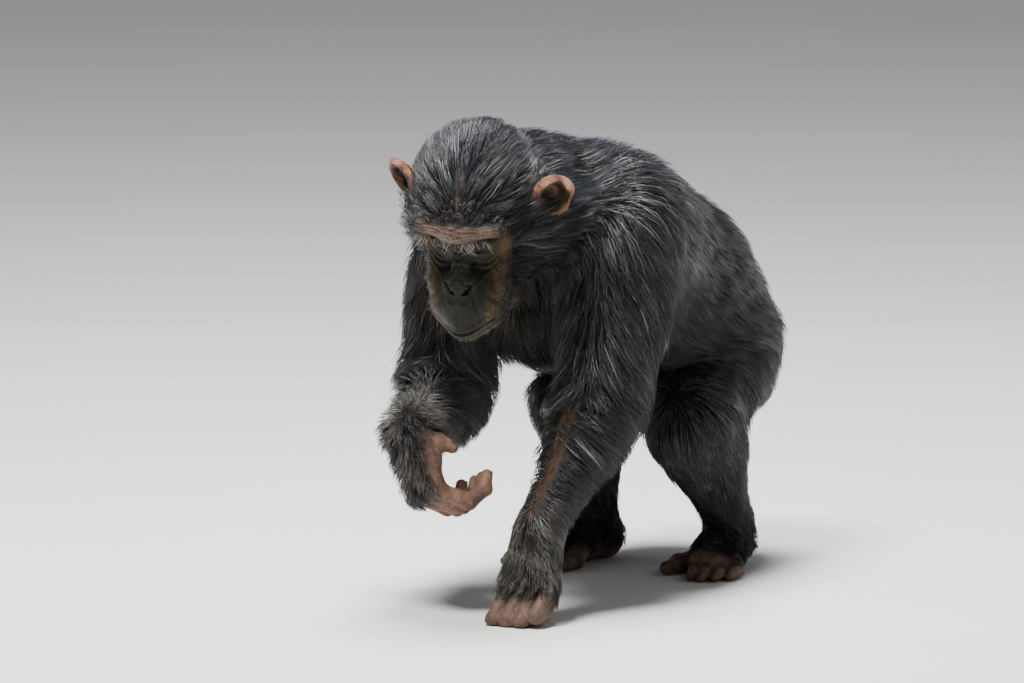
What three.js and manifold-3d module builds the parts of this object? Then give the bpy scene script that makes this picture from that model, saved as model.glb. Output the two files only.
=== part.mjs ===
// A young eastern chimpanzee walking on its knuckles, as a life-size still model.
// Lengths are millimetres. +X is the animal's left, +Y its tail end, +Z up, and the floor is z = 0.
// Rounded masses of flesh are set between named joints and blended where they meet. Each mass
// carries its own depth of coat, and every node is the closed surface of its masses.
import * as THREE from "three";
import { mergeVertices } from "three/addons/utils/BufferGeometryUtils.js";
import Module from "manifold-3d";

const wasm = await Module();
wasm.setup();

const at = (x, y, z) => new THREE.Vector3(x, y, z);
const along = (a, b, share) => a.clone().lerp(b, share);
const radians = THREE.MathUtils.degToRad;

// Driving dimensions.
const GAP = 0.3;
const JOINT = 0.34;
const CORE_SHARE = 0.5;
const WITHERS = 447;

const SIDES = { left: 1, right: -1 };
const JOINTS = {
  left: {
    shoulder: at(105, -50, WITHERS),
    elbow: at(104, -95, 250),
    wrist: at(81, -207, 106.4),
    hip: at(60, 292, 270),
    knee: at(104, 118, 200),
    ankle: at(84, 262, 62),
  },
  right: {
    shoulder: at(-105, -50, WITHERS),
    elbow: at(-131, -63, 237),
    wrist: at(-79, -236, 218),
    hip: at(-60, 292, 270),
    knee: at(-66, 134, 214),
    ankle: at(-86, 222, 60),
  },
};

// The head's own frame: x to its left, y forward, z up, from the midpoint between the ear canals.
const HEAD_SEAT = at(0, -208, 505);
const HEAD_DOWN = radians(48.5);
const HEAD_LEFT = radians(11);
const HEAD_ROLL = radians(-3);

// Shapes as distance functions. A mass grows by its coat times the share of the coat asked for.
const clamp = THREE.MathUtils.clamp;

function bar(a, b, ra, rb, coat = 0, coatEnd = coat) {
  const axis = b.clone().sub(a);
  const square = axis.lengthSq();
  return (p, share) => {
    const [x, y, z] = [p.x - a.x, p.y - a.y, p.z - a.z];
    const t = clamp((x * axis.x + y * axis.y + z * axis.z) / square, 0, 1);
    const away = Math.hypot(x - t * axis.x, y - t * axis.y, z - t * axis.z);
    return away - (ra + t * (rb - ra)) - share * (coat + t * (coatEnd - coat));
  };
}

function egg(centre, radii, coat = 0, turn = new THREE.Quaternion()) {
  const back = turn.clone().invert();
  return (p, share) => {
    const q = p.clone().sub(centre).applyQuaternion(back);
    const grown = share * coat;
    const [a, b, c] = [radii.x + grown, radii.y + grown, radii.z + grown];
    const near = Math.hypot(q.x / a, q.y / b, q.z / c);
    const slope = Math.hypot(q.x / (a * a), q.y / (b * b), q.z / (c * c));
    return slope ? (near * (near - 1)) / slope : -Math.min(a, b, c);
  };
}

function blend(masses, softness) {
  return (p, share) => {
    let least = Infinity;
    for (const mass of masses) {
      const d = mass(p, share);
      const near = Math.max(softness - Math.abs(least - d), 0) / softness;
      least = Math.min(least, d) - (near * near * softness) / 4;
    }
    return least;
  };
}

// Solids.
function solid(positions, faces) {
  const make = (triangles) =>
    new wasm.Manifold(
      new wasm.Mesh({ numProp: 3, vertProperties: new Float32Array(positions), triVerts: new Uint32Array(triangles) }),
    );
  const made = make(faces);
  if (made.volume() > 0) return made;
  const turned = [];
  for (let i = 0; i < faces.length; i += 3) turned.push(faces[i], faces[i + 2], faces[i + 1]);
  return make(turned);
}

function solidOf(geometry) {
  const bare = geometry.clone();
  bare.deleteAttribute("normal");
  bare.deleteAttribute("uv");
  const merged = mergeVertices(bare, 1e-3);
  return solid([...merged.attributes.position.array], [...merged.index.array]);
}

function largest(made) {
  const pieces = made.decompose();
  return pieces.reduce((best, piece) => (piece.volume() > best.volume() ? piece : best));
}

function geometryOf(made) {
  const mesh = made.getMesh();
  const positions = new Float32Array(mesh.numVert * 3);
  for (let i = 0; i < mesh.numVert; i++) {
    positions.set(mesh.vertProperties.subarray(i * mesh.numProp, i * mesh.numProp + 3), i * 3);
  }
  return new THREE.BufferGeometry()
    .setAttribute("position", new THREE.BufferAttribute(positions, 3))
    .setIndex(new THREE.BufferAttribute(mesh.triVerts, 1));
}

// Where a ray from inside a shape first leaves it.
function exitPoint(distance, origin, direction) {
  const p = at(0, 0, 0);
  const depth = (t) => distance(p.copy(origin).addScaledVector(direction, t));
  let [inside, outside] = [0, 0];
  while (depth(outside) < 0) {
    inside = outside;
    outside += 4;
  }
  for (let i = 0; i < 12; i++) {
    const middle = (inside + outside) / 2;
    if (depth(middle) < 0) inside = middle;
    else outside = middle;
  }
  return origin.clone().addScaledVector(direction, (inside + outside) / 2);
}

// Stations along a curve inside a shape, with leaning ones that round off both ends.
function stationsAlong(points, count, up, leans = [30, 62]) {
  const curve = new THREE.CatmullRomCurve3(points, false, "centripetal");
  const station = (u, lean) => {
    const ahead = curve.getTangentAt(u);
    const across = ahead.clone().cross(up).normalize();
    return { origin: curve.getPointAt(u), ahead, across, over: across.clone().cross(ahead), lean: radians(lean) };
  };
  return [
    station(0, -90),
    ...leans.toReversed().map((lean) => station(0, -lean)),
    ...Array.from({ length: count + 1 }, (_, i) => station(i / count, 0)),
    ...leans.map((lean) => station(1, lean)),
    station(1, 90),
  ];
}

const turnsOf = (sides) => Array.from({ length: sides }, (_, n) => (2 * Math.PI * (n + 0.5)) / sides);

// The closed surface met by rays cast out of each station at each turn.
function wrap(distance, stations, turns) {
  const cast = ({ origin, ahead, across, over, lean }, turn) =>
    exitPoint(
      distance,
      origin,
      at(0, 0, 0)
        .addScaledVector(across, Math.cos(lean) * Math.cos(turn))
        .addScaledVector(over, Math.cos(lean) * Math.sin(turn))
        .addScaledVector(ahead, Math.sin(lean)),
    );
  const points = [cast(stations[0], 0)];
  for (const station of stations.slice(1, -1)) points.push(...turns.map((turn) => cast(station, turn)));
  points.push(cast(stations.at(-1), 0));
  const sides = turns.length;
  const rings = stations.length - 2;
  const faces = [];
  for (let n = 0; n < sides; n++) {
    const next = (n + 1) % sides;
    faces.push(0, 1 + next, 1 + n);
    for (let r = 0; r < rings - 1; r++) {
      const [a, b] = [1 + r * sides + n, 1 + r * sides + next];
      const [c, d] = [b + sides, a + sides];
      if (points[a].distanceTo(points[c]) <= points[b].distanceTo(points[d])) faces.push(a, b, c, a, c, d);
      else faces.push(a, b, d, b, c, d);
    }
    const last = 1 + (rings - 1) * sides;
    faces.push(points.length - 1, last + n, last + next);
  }
  return solid(points.flatMap((p) => [p.x, p.y, p.z]), faces);
}

// A large block whose face passes through a point and looks along a direction.
function halfSpace(point, outwards) {
  const reach = 2000;
  const block = new THREE.BoxGeometry(reach, reach, reach).translate(0, 0, -reach / 2);
  block.applyQuaternion(new THREE.Quaternion().setFromUnitVectors(at(0, 0, 1), outwards.clone().normalize()));
  return solidOf(block.translate(point.x, point.y, point.z));
}

// A closed tube of rings, each with its centre, its two half widths and their directions.
function loft(rings, sides) {
  const positions = [];
  for (const ring of rings) {
    for (let n = 0; n < sides; n++) {
      const angle = (2 * Math.PI * (n + 0.5)) / sides;
      const p = ring.centre
        .clone()
        .addScaledVector(ring.across, ring.wide * Math.cos(angle))
        .addScaledVector(ring.over, ring.deep * Math.sin(angle));
      positions.push(p.x, p.y, p.z);
    }
  }
  const faces = [];
  rings.slice(1).forEach((_, r) => {
    for (let n = 0; n < sides; n++) {
      const [a, b] = [r * sides + n, r * sides + ((n + 1) % sides)];
      faces.push(a, b, b + sides, a, b + sides, a + sides);
    }
  });
  const last = (rings.length - 1) * sides;
  for (let n = 1; n < sides - 1; n++) {
    faces.push(0, n + 1, n);
    faces.push(last, last + n, last + n + 1);
  }
  return solid(positions, faces);
}

// A peg from a to b with a round start, and a round end where it is a tip.
function peg(a, b, ra, rb, tip = true, sides = 6) {
  const length = a.distanceTo(b);
  const profile = [
    [0, -0.95 * ra],
    [ra, -0.3 * ra],
    [rb, length + (tip ? 0.3 * rb : 0)],
    [0, length + (tip ? 0.95 : 0.15) * rb],
  ].map(([r, h]) => new THREE.Vector2(r, h));
  const shape = new THREE.LatheGeometry(profile, sides);
  const turn = new THREE.Quaternion().setFromUnitVectors(at(0, 1, 0), b.clone().sub(a).normalize());
  return solidOf(shape.applyQuaternion(turn).translate(a.x, a.y, a.z));
}

// A bent digit of several pegs.
function digit(points, radii, grown) {
  return wasm.Manifold.union(
    points.slice(1).map((p, i) => peg(points[i], p, radii[i] + grown, radii[i + 1] + grown, i === points.length - 2)),
  );
}

// The trunk: rib cage, belly, pelvis, shoulder blades and buttocks.
const trunkMasses = [
  egg(at(0, 55, 411), at(120, 142, 108), 38),
  egg(at(0, 195, 348), at(112, 130, 108), 32),
  egg(at(0, 286, 314), at(76, 84, 104), 30),
  egg(at(0, -38, 375), at(86, 72, 84), 24),
  ...Object.values(SIDES).map((side) => egg(at(side * 78, -15, 446), at(62, 84, 74), 36)),
  ...Object.values(SIDES).map((side) => egg(at(side * 54, 302, 270), at(48, 64, 66), 28)),
];
const trunk = blend(trunkMasses, 34);

const neckMasses = [bar(at(0, 10, 448), at(-4, -150, 500), 84, 68, 30, 30)];
const neck = blend(neckMasses, 20);

// Limbs.
function armMasses({ shoulder, elbow, wrist }, side) {
  const bulge = along(elbow, wrist, 0.22);
  return [
    bar(shoulder, elbow, 50, 34, 30, 26),
    egg(along(shoulder, elbow, 0.45).add(at(side * 4, 6, 0)), at(40, 43, 62), 28),
    bar(elbow, bulge, 34, 36, 26, 26),
    bar(bulge, wrist, 36, 23, 26, 9),
  ];
}

function legMasses({ hip, knee, ankle }, side) {
  const calf = along(knee, ankle, 0.3).add(at(0, 14, 0));
  return [
    bar(hip, knee, 55, 38, 23, 22),
    egg(along(hip, knee, 0.3).add(at(side * 5, 0, -5)), at(50, 70, 56), 24),
    bar(knee, calf, 38, 36, 22, 20),
    bar(calf, ankle, 35, 23, 20, 9),
  ];
}

const limbs = {};
for (const [name, side] of Object.entries(SIDES)) {
  limbs[name] = {
    arm: blend(armMasses(JOINTS[name], side), 26),
    leg: blend(legMasses(JOINTS[name], side), 26),
  };
}

const core = (distance, grown = 0) => (p) => distance(p, CORE_SHARE) - grown;

// The limbs' wraps, each along its own bones. Their ends are cut off at the joints afterwards.
const UP = at(0, 0, 1);
const BACK = at(0, 1, 0);
function armWrap(name, grown) {
  const { shoulder, elbow, wrist } = JOINTS[name];
  const beyond = along(elbow, wrist, 1.12);
  return wrap(core(limbs[name].arm, grown), stationsAlong([shoulder, elbow, beyond], 13, BACK), turnsOf(10));
}

function thighWrap(name, grown) {
  const { hip, knee } = JOINTS[name];
  return wrap(core(limbs[name].leg, grown), stationsAlong([hip, knee], 6, UP), turnsOf(12));
}

function shankWrap(name, grown) {
  const { knee, ankle } = JOINTS[name];
  const points = [knee, along(knee, ankle, 1.06)];
  return wrap(core(limbs[name].leg, grown), stationsAlong(points, 7, BACK), turnsOf(10));
}

// The head, in its own frame.
const headTurn = new THREE.Quaternion()
  .setFromAxisAngle(at(0, 0, 1), HEAD_LEFT + Math.PI)
  .multiply(new THREE.Quaternion().setFromAxisAngle(at(1, 0, 0), -HEAD_DOWN))
  .multiply(new THREE.Quaternion().setFromAxisAngle(at(0, 1, 0), HEAD_ROLL));
const headPlace = new THREE.Matrix4().compose(HEAD_SEAT, headTurn, at(1, 1, 1));

const both = (make) => [make(-1), make(1)];
const EYE = { x: 28, y: 71, z: 16, radius: 12 };
const headMasses = [
  egg(at(0, 2, 32), at(62, 76, 55), 24),
  ...both((s) => bar(at(0, 82, 49), at(s * 49, 72, 45), 11, 9.5)),
  bar(at(0, 68, 24), at(0, 113, -8), 13, 10.5),
  ...both((s) => egg(at(s * 9.5, 113, -12), at(8, 9, 7))),
  ...both((s) => bar(at(s * 46, 57, 8), at(s * 50, 20, -8), 14, 24, 6, 30)),
  ...both((s) => bar(at(s * 30, 66, -12), at(s * 26, 92, -36), 20, 24)),
  egg(at(0, 107, -45), at(41, 44, 34)),
  egg(at(0, 102, -78), at(36, 41, 22), 3),
  ...both((s) => bar(at(s * 24, 82, -76), at(s * 50, 8, -52), 20, 26, 5, 28)),
  egg(at(0, -10, -20), at(56, 60, 50), 26),
  ...both((s) => bar(at(0, 141, -54), at(s * 31, 123, -53), 8.5, 8)),
  ...both((s) => bar(at(0, 141, -69), at(s * 28, 120, -66), 9.5, 8.5)),
];
const lids = both((s) => egg(at(s * EYE.x, EYE.y, EYE.z), at(14, 14, 13.4)));
const head = blend([blend(headMasses, 16), ...lids], 4);

// Rays out of the head's middle: close together over the face, wide apart at the back and sides.
const HEAD_MIDDLE = at(0, 30, 2);
const SIDE_LEANS = [5, 12, 19, 26, 34, 46, 63];
const HEAD_TURNS = [
  ...Array.from({ length: 21 }, (_, n) => -72 + 6 * n),
  ...Array.from({ length: 9 }, (_, n) => 66 + 24 * n),
].map(radians);

function headWrap(grown) {
  const leans = [-90, ...SIDE_LEANS.map((lean) => -lean).toReversed(), ...SIDE_LEANS, 90];
  const stations = leans.map((lean) => ({
    origin: HEAD_MIDDLE,
    ahead: at(1, 0, 0),
    across: at(0, 1, 0),
    over: at(0, 0, 1),
    lean: radians(lean),
  }));
  return wrap(core(head, grown), stations, HEAD_TURNS);
}

function ball(centre, radii, across = 12, down = 8) {
  return solidOf(new THREE.SphereGeometry(1, across, down).scale(radii.x, radii.y, radii.z).translate(...centre));
}

function eyeSolid(s, grown = 0) {
  const r = EYE.radius + grown;
  const centre = at(s * EYE.x, EYE.y, EYE.z);
  return ball([...centre], at(r, r, r), 10, 7).subtract(halfSpace(centre.clone().add(at(0, 1 - grown, 0)), BACK));
}

// The opening between the lids, lowered and slightly slanted.
const LID_SLIT = { wide: 10.5, tall: 2.9, drop: 3.5 };
function lidSlit(s) {
  const shape = new THREE.SphereGeometry(1, 8, 4).scale(LID_SLIT.wide, 12, LID_SLIT.tall);
  shape.rotateY(s * 0.12);
  return solidOf(shape.translate(s * (EYE.x + 0.5), EYE.y + 12, EYE.z - LID_SLIT.drop));
}

// An ear: a shallow cup with a rolled rim, its foot sunk in the head. The right one sits a little higher.
const EAR = { x: 93, y: -6, z: 15, lift: 6, wide: 28, tall: 31, deep: 15 };
const earTurn = (s) => new THREE.Quaternion().setFromUnitVectors(at(0, 1, 0), at(s * 0.62, 0.74, 0.25).normalize());
const earInner = [
  [0, -0.95],
  [0.5, -0.62],
  [0.8, 0],
  [0.86, 0.42],
];
const earOuter = [
  [1, 0.3],
  [0.94, -0.2],
  [0.6, -1.05],
  [0.5, -2.7],
  [0, -2.9],
];
function earShape(s, profile) {
  const cup = new THREE.LatheGeometry(profile, 11).scale(EAR.wide, 1, EAR.tall).applyQuaternion(earTurn(s));
  return solidOf(cup.translate(s * EAR.x, EAR.y, EAR.z + s * EAR.lift));
}
const earSolid = (s) => earShape(s, [...earInner, ...earOuter].map(([r, h]) => new THREE.Vector2(r, h * EAR.deep)));

// The room an ear takes is its outer shape, with the cup filled and domed over.
function earRoom(s) {
  const grown = GAP / EAR.wide;
  const outer = earOuter.map(([r, h]) => new THREE.Vector2(r && r + grown, h * EAR.deep + Math.sign(h) * GAP));
  return earShape(s, [new THREE.Vector2(0, 0.9 * EAR.deep), new THREE.Vector2(0.72, 0.7 * EAR.deep), ...outer]);
}

// The line between the lips and the two nostrils.
function mouthSlit() {
  const points = Array.from({ length: 9 }, (_, n) => {
    const turn = radians(-72 + 18 * n);
    const inside = at(0, 90, -61 + 5 * Math.abs(Math.sin(turn)));
    return exitPoint(core(head), inside, at(Math.sin(turn), Math.cos(turn), -0.16).normalize());
  });
  const rings = points.map((p, n) => {
    const ahead = (points[n + 1] ?? p).clone().sub(points[n - 1] ?? p).normalize();
    const size = n === 0 || n === points.length - 1 ? 0.35 : 1;
    return { centre: p, across: ahead.cross(UP).normalize(), over: UP, wide: 9 * size, deep: 1.7 * size };
  });
  return loft(rings, 4);
}

function nostril(s) {
  const shape = new THREE.SphereGeometry(1, 6, 4).scale(3.3, 7, 6).rotateX(0.5).rotateY(s * 0.5);
  return solidOf(shape.translate(s * 7.5, 123, -15));
}

// Hands. Each has its own frame: m down the palm from the wrist, n out of the palm, r to the little finger.
const HANDS = {
  left: {
    m: at(0.03, -0.4, -0.915),
    n: at(0, 0.915, -0.4),
    palm: 80,
    curls: [-26, 113.6, 155],
    thumb: { from: at(-24, 14, 16), to: [at(-30, 22, 40), at(-24, 26, 62)] },
  },
  right: {
    m: at(0.36, -0.07, -0.93),
    n: at(0.52, 0.84, 0.14),
    palm: 80,
    curls: [58, 112, 155],
    thumb: { from: at(-16, 6, 10), to: [at(-27, 19, 21), at(-30, 33, 32)] },
  },
};
const FINGERS = {
  index: { row: -28, lengths: [42, 27, 18], knuckle: 0 },
  middle: { row: -9, lengths: [42, 29, 19], knuckle: 1 },
  ring: { row: 9.8, lengths: [42, 28, 18], knuckle: 0 },
  little: { row: 28, lengths: [38, 22, 16], knuckle: -3 },
};
const FINGER_RADII = [9, 9.1, 7.9, 6.6];

function handFrame(name) {
  const m = HANDS[name].m.clone().normalize();
  const n = HANDS[name].n.clone().addScaledVector(m, -HANDS[name].n.dot(m)).normalize();
  const r = m.clone().cross(n).multiplyScalar(SIDES[name]);
  const wrist = JOINTS[name].wrist;
  const place = ([row, out, down]) =>
    wrist.clone().addScaledVector(r, row).addScaledVector(n, out).addScaledVector(m, down);
  return { m, n, r, place };
}

function palmSolid(name, grown = 0) {
  const { n, r, place } = handFrame(name);
  const { palm } = HANDS[name];
  const stations = [
    [-10, 21, 18, 0],
    [8, 23, 18, 0],
    [0.35 * palm, 28, 17, 2],
    [0.7 * palm, 35, 16, 2],
    [palm - 5, 38, 14, 0],
    [palm + 5, 33, 9, 0],
  ];
  const rings = stations.map(([down, wide, deep, out]) => ({
    centre: place([0, out, down]),
    across: r,
    over: n,
    wide: wide + grown,
    deep: deep + grown,
  }));
  return loft(rings, 10);
}

function fingerSolid(name, finger, grown = 0) {
  const { m, n, place } = handFrame(name);
  const { row, lengths, knuckle } = FINGERS[finger];
  const points = [place([row, 0, HANDS[name].palm - 2 + knuckle])];
  lengths.forEach((length, i) => {
    const angle = radians(HANDS[name].curls[i]);
    const bone = m.clone().multiplyScalar(Math.cos(angle)).addScaledVector(n, Math.sin(angle));
    points.push(points[i].clone().addScaledVector(bone, length));
  });
  return digit(points, FINGER_RADII, grown);
}

function thumbSolid(name, grown = 0) {
  const { place } = handFrame(name);
  const { from, to } = HANDS[name].thumb;
  return digit([from, ...to].map((p) => place([p.x, p.y, p.z])), [12, 9.5, 7.5], grown);
}

// Feet, flat on the floor.
const FEET = {
  left: { ankle: JOINTS.left.ankle, yaw: radians(7) },
  right: { ankle: JOINTS.right.ankle, yaw: radians(9) },
};
const TOES = {
  second: { row: 4, start: -114, length: 22 },
  third: { row: 19.5, start: -113, length: 24 },
  fourth: { row: 34.5, start: -107, length: 22 },
  little: { row: 48.5, start: -97, length: 18 },
};

// From the foot's own frame (out to the little toe, back to the heel, up) to the model's.
function footPlace(name) {
  const side = SIDES[name];
  const { ankle, yaw } = FEET[name];
  const forward = at(side * Math.sin(yaw), -Math.cos(yaw), 0);
  const out = at(side * Math.cos(yaw), Math.sin(yaw), 0);
  return (row, back, up) =>
    at(ankle.x, ankle.y, 0).addScaledVector(out, row).addScaledVector(forward, -back).add(at(0, 0, up));
}

function footMasses(name) {
  const place = footPlace(name);
  const { ankle } = FEET[name];
  return [
    bar(ankle, place(0, 12, 34), 24, 25, 9, 5),
    bar(place(0, 22, 22), place(2, -30, 26), 24, 24, 4, 3),
    bar(place(-6, -30, 24), place(-4, -84, 17), 22, 17, 3, 2),
    bar(place(14, -20, 20), place(36, -80, 13), 20, 15, 3, 2),
    bar(place(8, -40, 22), place(16, -88, 15), 22, 17, 3, 2),
  ];
}

function footSolid(name, grown = 0) {
  const place = footPlace(name);
  const points = [place(0, 18, 22), place(2, -30, 22), place(12, -82, 15)];
  return wrap(core(blend(footMasses(name), 14), grown), stationsAlong(points, 6, UP), turnsOf(10));
}

function toeSolid(name, toe, grown = 0) {
  const place = footPlace(name);
  const { row, start, length } = TOES[toe];
  return digit([place(row, start + 8, 8.4), place(row, start - length, 5.4)], [7.6, 6], grown);
}

function bigToeSolid(name, grown = 0) {
  const place = footPlace(name);
  return digit([place(-16, -52, 14), place(-34, -80, 10.6), place(-39, -106, 8.8)], [14, 11.5, 9.5], grown);
}

// Materials.
const finish = (colour, roughness) => new THREE.MeshStandardMaterial({ color: colour, roughness, metalness: 0 });
const FINISHES = {
  coat: finish(0x17161a, 0.6),
  face: finish(0x3b332e, 0.55),
  ear: finish(0x8d5b45, 0.5),
  hand: finish(0x5a463d, 0.6),
  eye: finish(0x24160e, 0.1),
};

// The nodes, in the order in which they take their room: each is cut clear of those before it.
const model = new THREE.Group();
const rooms = [];
const bodies = new Map();
function place(name, material, make) {
  let made = make(0);
  for (const room of rooms) made = made.subtract(room);
  rooms.push(make(GAP));
  bodies.set(name, { made: largest(made), material });
}

const inWorld = (made) => made.transform(headPlace.elements);
const floor = halfSpace(at(0, 0, 0), at(0, 0, 1));
const cutAt = (point, direction, grown) => halfSpace(point.clone().addScaledVector(direction, grown), direction);

// Eyes, ears and head.
const HEAD_SIDES = { left: -1, right: 1 };
for (const [name, s] of Object.entries(HEAD_SIDES)) place(`eye_${name}`, "eye", (grown) => inWorld(eyeSolid(s, grown)));
for (const [name, s] of Object.entries(HEAD_SIDES)) place(`ear_${name}`, "ear", (grown) => inWorld(grown ? earRoom(s) : earSolid(s)));
place("head", "face", (grown) => {
  let made = headWrap(grown);
  if (!grown) made = made.subtract(mouthSlit());
  for (const s of Object.values(HEAD_SIDES)) {
    if (!grown) made = made.subtract(lidSlit(s)).subtract(nostril(s));
  }
  return inWorld(made);
});

// Neck and torso, parted by a slanting cut behind the head.
const NECK_CUT = at(0, -62, 470);
const neckWay = at(0, 1, -0.3).normalize();
const neckLine = [at(0, 10, 445), at(0, -60, 462), at(-4, -150, 500)];
const neckWrap = (grown) => wrap(core(neck, grown), stationsAlong(neckLine, 5, UP), turnsOf(14));
const spine = [at(0, -50, 394), at(0, 60, 392), at(0, 185, 350), at(0, 308, 298)];
const trunkWrap = (grown) => wrap(core(trunk, grown), stationsAlong(spine, 12, UP, [25, 54]), turnsOf(21));
place("neck", "coat", (grown) => neckWrap(grown).intersect(cutAt(NECK_CUT, neckWay, grown)));
place("torso", "coat", (grown) => trunkWrap(grown).add(neckWrap(grown)));

// Hands and arms, parted at the elbow.
for (const name of Object.keys(SIDES)) {
  const { shoulder, elbow, wrist } = JOINTS[name];
  const elbowWay = wrist.clone().sub(shoulder).normalize();
  for (const finger of Object.keys(FINGERS)) {
    place(`${finger}_finger_${name}`, "hand", (grown) => fingerSolid(name, finger, grown).subtract(floor));
  }
  place(`thumb_${name}`, "hand", (grown) => thumbSolid(name, grown));
  place(`hand_${name}`, "hand", (grown) => palmSolid(name, grown));
  place(`upper_arm_${name}`, "coat", (grown) => armWrap(name, grown).intersect(cutAt(elbow, elbowWay, grown)));
  place(`forearm_${name}`, "coat", (grown) => armWrap(name, grown).intersect(cutAt(elbow, elbowWay.clone().negate(), -JOINT)));
}

// Feet and legs, parted at the knee.
for (const name of Object.keys(SIDES)) {
  const { hip, knee, ankle } = JOINTS[name];
  const kneeWay = ankle.clone().sub(hip).normalize();
  place(`big_toe_${name}`, "hand", (grown) => bigToeSolid(name, grown).subtract(floor));
  for (const toe of Object.keys(TOES)) {
    place(`${toe}_toe_${name}`, "hand", (grown) => toeSolid(name, toe, grown).subtract(floor));
  }
  place(`foot_${name}`, "hand", (grown) => footSolid(name, grown).subtract(floor));
  place(`thigh_${name}`, "coat", (grown) => thighWrap(name, grown).intersect(cutAt(knee, kneeWay, grown)));
  place(`lower_leg_${name}`, "coat", (grown) => shankWrap(name, grown).intersect(cutAt(knee, kneeWay.clone().negate(), -JOINT)));
}

// Locks of the coat. Each leaves the core at its root, rises over it along the lie of the hair
// and ends in a point at the coat's full depth. The random draws are seeded.
let seed = 7;
function draw(low, high) {
  seed = (seed * 1664525 + 1013904223) % 4294967296;
  return low + ((high - low) * seed) / 4294967296;
}

function normalAt(field, share, p) {
  const e = 1.5;
  const slope = (dx, dy, dz) =>
    field(at(p.x + dx, p.y + dy, p.z + dz), share) - field(at(p.x - dx, p.y - dy, p.z - dz), share);
  return at(slope(e, 0, 0), slope(0, e, 0), slope(0, 0, e)).normalize();
}

function settle(field, share, p) {
  const q = p.clone();
  for (let i = 0; i < 3; i++) q.addScaledVector(normalAt(field, share, q), -field(q, share));
  return q;
}

const LONG_RISE = [
  { along: 0, share: CORE_SHARE, wide: 0.72 },
  { along: 0.34, share: 0.78, wide: 1 },
  { along: 0.68, share: 0.95, wide: 0.74 },
  { along: 1, share: 1.02, wide: 0 },
];
const SHORT_RISE = [
  { along: 0, share: CORE_SHARE, wide: 0.75 },
  { along: 0.48, share: 0.85, wide: 0.95 },
  { along: 1, share: 1.02, wide: 0 },
];

function lock(field, root, lieAt, size, grown = 0) {
  const stations = [];
  let p = root.clone();
  let done = 0;
  for (const { along: part, share, wide } of size.rise) {
    const stride = (part - done) * size.long;
    for (let i = 0; i < 2 && stride; i++) {
      const n = normalAt(field, share, p);
      const lie = lieAt(p).addScaledVector(n, -lieAt(p).dot(n)).normalize();
      p = settle(field, share, p.addScaledVector(lie, stride / 2));
    }
    done = part;
    const n = normalAt(field, share, p);
    const ahead = lieAt(p).addScaledVector(n, -lieAt(p).dot(n)).normalize();
    stations.push({ p: p.clone(), n, ahead, half: (wide * size.wide) / 2 });
  }
  const points = [];
  stations.slice(0, -1).forEach(({ p: q, n, ahead, half }, i) => {
    const across = n.clone().cross(ahead);
    const base = q.clone().addScaledVector(ahead, i ? 0 : -0.1 * size.long);
    base.addScaledVector(n, (i ? 0 : -size.deep) - grown);
    points.push(base.clone().addScaledVector(across, half + grown));
    points.push(base.clone().addScaledVector(across, -half - grown));
    points.push(base.clone().addScaledVector(n, size.thick + 2 * grown + (i ? 0 : 0.4 * size.deep)));
  });
  const tip = stations.at(-1);
  points.push(tip.p.clone().addScaledVector(tip.ahead, grown));
  const faces = [0, 1, 2];
  for (let a = 0; a < points.length - 4; a++) {
    const b = a % 3 === 2 ? a - 2 : a + 1;
    faces.push(a, a + 3, b, b, a + 3, b + 3);
  }
  const end = points.length - 1;
  faces.push(end - 3, end, end - 2, end - 2, end, end - 1, end - 1, end, end - 3);
  return solid(points.flatMap((q) => [q.x, q.y, q.z]), faces);
}

// A lock stays where it clears the floor, every other node and its neighbours. A narrower or shorter
// one is tried where it doesn't.
const aboveFloor = (made) => made.getMesh().vertProperties.every((value, i) => i % 3 !== 2 || value > 1);
const TRIES = [
  [1, 1],
  [0.78, 0.94],
  [0.7, 0.7],
  [0.55, 0.5],
];

function growCoat(name, field, roots, lieAt, size) {
  const body = bodies.get(name);
  const kept = [];
  for (const root of roots) {
    const wide = size.wide * draw(0.9, 1.06);
    const long = size.long * draw(0.88, 1.12);
    for (const [w, l] of TRIES) {
      const one = { ...size, wide: wide * w, long: long * l };
      const room = lock(field, root, lieAt, one, GAP);
      const taken = [...bodies].some(([other, { made }]) => other !== name && !made.intersect(room).isEmpty());
      if (taken || !aboveFloor(room) || kept.some((near) => !near.intersect(room).isEmpty())) continue;
      kept.push(lock(field, root, lieAt, one));
      break;
    }
  }
  body.made = largest(wasm.Manifold.union([body.made, ...kept]));
}

// Roots in rows along a curve and at even turns about it, every other row set half a step on. Rows past
// its ends lean out of the end points.
function rootsAlong(field, points, up, { rows, from, to, turns, ends = [] }) {
  const curve = new THREE.CatmullRomCurve3(points, false, "centripetal");
  const even = Array.from({ length: rows }, (_, row) => ({ u: from + ((to - from) * row) / (rows - 1), lean: 0, turns }));
  const stray = (0.16 * (to - from)) / (rows - 1);
  return [...even, ...ends].flatMap((row, i) =>
    Array.from({ length: row.turns }, (_, n) => {
      const u = clamp(row.u + (row.lean ? 0 : draw(-stray, stray)), 0, 1);
      const turn = (2 * Math.PI * (n + (i % 2) / 2 + draw(-0.14, 0.14))) / row.turns;
      const ahead = curve.getTangentAt(u);
      const across = ahead.clone().cross(up).normalize();
      const over = across.clone().cross(ahead);
      const lean = radians(row.lean);
      const out = across.multiplyScalar(Math.cos(turn)).addScaledVector(over, Math.sin(turn));
      out.multiplyScalar(Math.cos(lean)).addScaledVector(ahead, Math.sin(lean));
      return exitPoint(core(field), curve.getPointAt(u), out);
    }),
  );
}

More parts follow.
